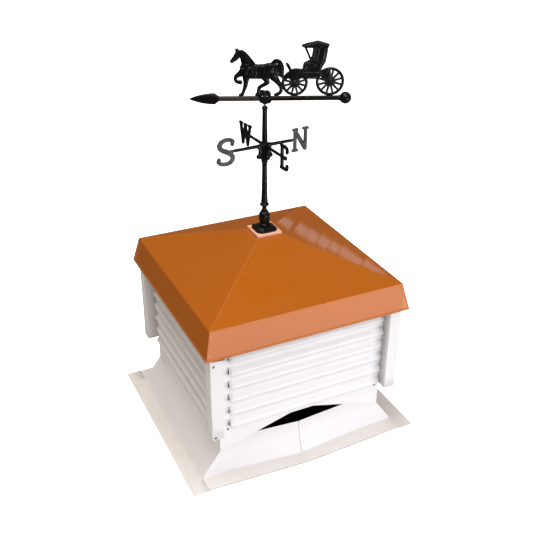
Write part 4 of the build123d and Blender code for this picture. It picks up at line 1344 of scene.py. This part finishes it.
cast(bm, "horse_casting", relief_enamel, "vane", "black_casting", "horse", placed=vane_frame)


# ---- Buggy wheels ----------------------------------------------------------------------
# Two spoked wheels, each one casting in black enamel: a round-edged rim, a barrel hub with a
# cap and twelve tapering spokes.  They stand on the bar, and the body's springs end at their hubs.
spoke_count = 12
spoke_root = 5
rim_half = 5.2
rim_depth = 4.6

for wheel_name in ("front", "rear"):
    node = f"{wheel_name}_wheel"
    near, far = span(node)
    middle = (near + far) / 2
    low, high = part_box(node)
    radius = (high.z - low.z) / 2 / MM
    axle = (low.z + high.z) / 2 / MM - bar_top
    bm = bmesh.new()
    stand = Matrix.Translation((0, 0, (radius - rim_half) * MM)) @ Matrix.Rotation(math.pi / 2, 4, "Y")
    section = bmesh.ops.create_circle(
        bm, segments=12, radius=MM, matrix=stand @ Matrix.Diagonal((rim_half, rim_depth, 1, 1)))["verts"]
    runs = list({edge for point in section for edge in point.link_edges})
    bmesh.ops.spin(
        bm, geom=section + runs, cent=(0, 0, 0), axis=(0, 1, 0), angle=2 * math.pi, steps=72,
        use_merge=True)
    for spoke in range(spoke_count):
        turn = 2 * math.pi * (spoke + 0.5) / spoke_count
        tiers(bm, Matrix.Rotation(turn, 4, "Y"), 10, (spoke_root, radius - rim_half, 4.6, 3.8))
    tiers(bm, Matrix.Rotation(-math.pi / 2, 4, "X"), 24,
          (-5, 5, 10.5, 10.5), (-7.4, -5, 6.4, 9.6), (5, 7.4, 9.6, 6.4),
          (-9.4, -7.4, 4.0, 5.4), (7.4, 9.4, 5.4, 4.0))
    bmesh.ops.recalc_face_normals(bm, faces=bm.faces)
    bmesh.ops.translate(bm, verts=bm.verts, vec=(middle * MM, 0, axle * MM))
    fit_to_vane(bm, node, enamel, 40)


# ---- Buggy body ------------------------------------------------------------------------
# The body between the wheels: a curled dash, a pan over the front axle, a box with a beaded
# top line, the seat, and springs reaching down to both hubs.
bead_count = 14
bead_pitch = 4.4


def slab(bm, half, *outline):
    """A flat plate of an outline of (along, up), its faces half away each side."""
    part = bmesh.new()
    face = part.faces.new([part.verts.new(Vector((along, -half, up)) * MM) for along, up in outline])
    made = bmesh.ops.extrude_face_region(part, geom=[face])["geom"]
    bmesh.ops.translate(part, verts=verts_of(made), vec=(0, 2 * half * MM, 0))
    bmesh.ops.recalc_face_normals(part, faces=part.faces)
    join_to(bm, part)


bm = bmesh.new()
limb(bm, (73, 110.5, 2.6), (76.5, 106, 3.6), (80.5, 99, 3.8), (84, 91.5, 3.6), (88, 86, 3.6), flat=1.2)
slab(bm, 4.8, (62, 58), (61, 64), (66, 72), (74, 80), (85, 86), (93, 89), (101, 90.5), (126, 89),
     (139, 87), (141, 64), (136, 57), (124, 61), (113, 56), (101, 58), (90, 55), (78, 61), (70, 56))
slab(bm, 3.0, (95, 60), (107, 60), (107, 48), (95, 48))
ribbon(bm, 5.0, (84, 87, 2.2), (101, 91, 2.2), (118, 90, 2.2), (130, 88, 2.2))
for spring in ((82, 68), (118, 62)):
    limb(bm, (spring[0], spring[1], 2.2, 5.4), (101, 76, 2.2, 5.4), (spring[1] + 56, 68, 2.0, 5.4))
slab(bm, 10.5, (126, 88), (190, 88), (191, 82), (184, 66), (178, 61), (143, 61), (137, 68), (130, 78))
slab(bm, 11.5, (125.5, 87), (128.5, 105), (135, 114.5), (148, 118), (186, 104), (190, 87))
limb(bm, (130, 88, 3.4, 9), (134, 110, 3.6, 9), (148, 117, 3.6, 9))
slab(bm, 4.6, (184, 80), (192, 87), (203, 92.5), (213, 95), (222, 95.5), (223, 52), (207, 54), (190, 62))
for lean in ((187, 74), (194, 84), (203, 90), (213, 93)):
    limb(bm, (*lean, 2.0, 5.4), (219, 54, 2.6, 5.6))
for bead in range(bead_count):
    spot = 130 + bead * bead_pitch
    for side in (-1, 1):
        lump(bm, ((spot, side * 11.0, 82.4), (1.9, 1.7, 1.9)))
for side in (-1, 1):
    limb(bm, (136, 70, 1.8, 1.6), (146, 63, 1.8, 1.6), (176, 63, 1.8, 1.6), (186, 70, 1.8, 1.6),
         offset=side * 10.6, fuller=0.7)
    limb(bm, (132, 92, 1.8, 1.6), (135, 107, 1.8, 1.6), (148, 113, 1.8, 1.6), offset=side * 11.6, fuller=0.7)
cast(bm, "buggy_body_casting", relief_enamel, "vane", "black_casting", "buggy_body", placed=vane_frame)


# ---- Buggy hood ------------------------------------------------------------------------
# The folding hood, cast as a stiff shell: a peaked top, side curtains with the bows showing
# through, a slender stay in front and a bright stud at its rear foot.
hood_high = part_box("buggy_hood")[1].z / MM - bar_top
stud_radius = 3.0 * MM

bm = bmesh.new()
slab(bm, 15.5, (125, 167), (137, 174.5), (160, 180), (177, hood_high - 1.6), (197, 178), (211, 172.5),
     (209.5, 164), (160, 164.4), (134, 165))
slab(bm, 9.5, (161.5, 168), (160, 146), (157, 132.6), (150, 119), (150, 96), (188, 88), (194, 102),
     (203, 117), (206, 132), (207, 168))
limb(bm, (126, 169, 2.6, 15), (142, 174, 2.8, 16), (177, hood_high - 4.9, 3.0, 16),
     (210.5, 171.5, 2.6, 15.5))
limb(bm, (196, 166, 13, 14), (195.5, 150, 12.5, 15), (193.5, 134, 12, 14.5),
     (188, 118, 10.5, 13.5), (182, 103, 9, 12))
for side in (-1, 1):
    limb(bm, (133.0, 167, 2.2, 2.4), (143, 146, 2.1, 2.4), (152.5, 124, 2.3, 2.4), offset=side * 12)
    limb(bm, (164.5, 167, 3.4, 3.2), (163.5, 150, 3.2, 3.2), (161, 134, 3.4, 3.4), (155, 122, 3.4, 3.2),
         offset=side * 8.6, fuller=0.7)
    limb(bm, (178, 170, 2.2, 2.0), (175, 146, 2.2, 2.0), (168, 120, 2.2, 2.0), offset=side * 9.6, fuller=0.7)
    limb(bm, (158, 124, 4.2, 3.0), (172, 118, 4.6, 3.4), (184, 110, 4.4, 3.4), offset=side * 9.6)
cast(bm, "buggy_hood_casting", relief_enamel, "vane", "black_casting", "buggy_hood", placed=vane_frame)

bm = bmesh.new()
for side in (-1, 1):
    stand = vane_frame @ Matrix.Translation((188 * MM, side * 14.6 * MM, 93 * MM))
    bmesh.ops.create_uvsphere(
        bm, u_segments=16, v_segments=10, radius=stud_radius,
        matrix=stand @ Matrix.Diagonal((1, 0.8, 1, 1)))
fit(finished(bm, "hood_studs", zinc), "vane", "spindle_steel")
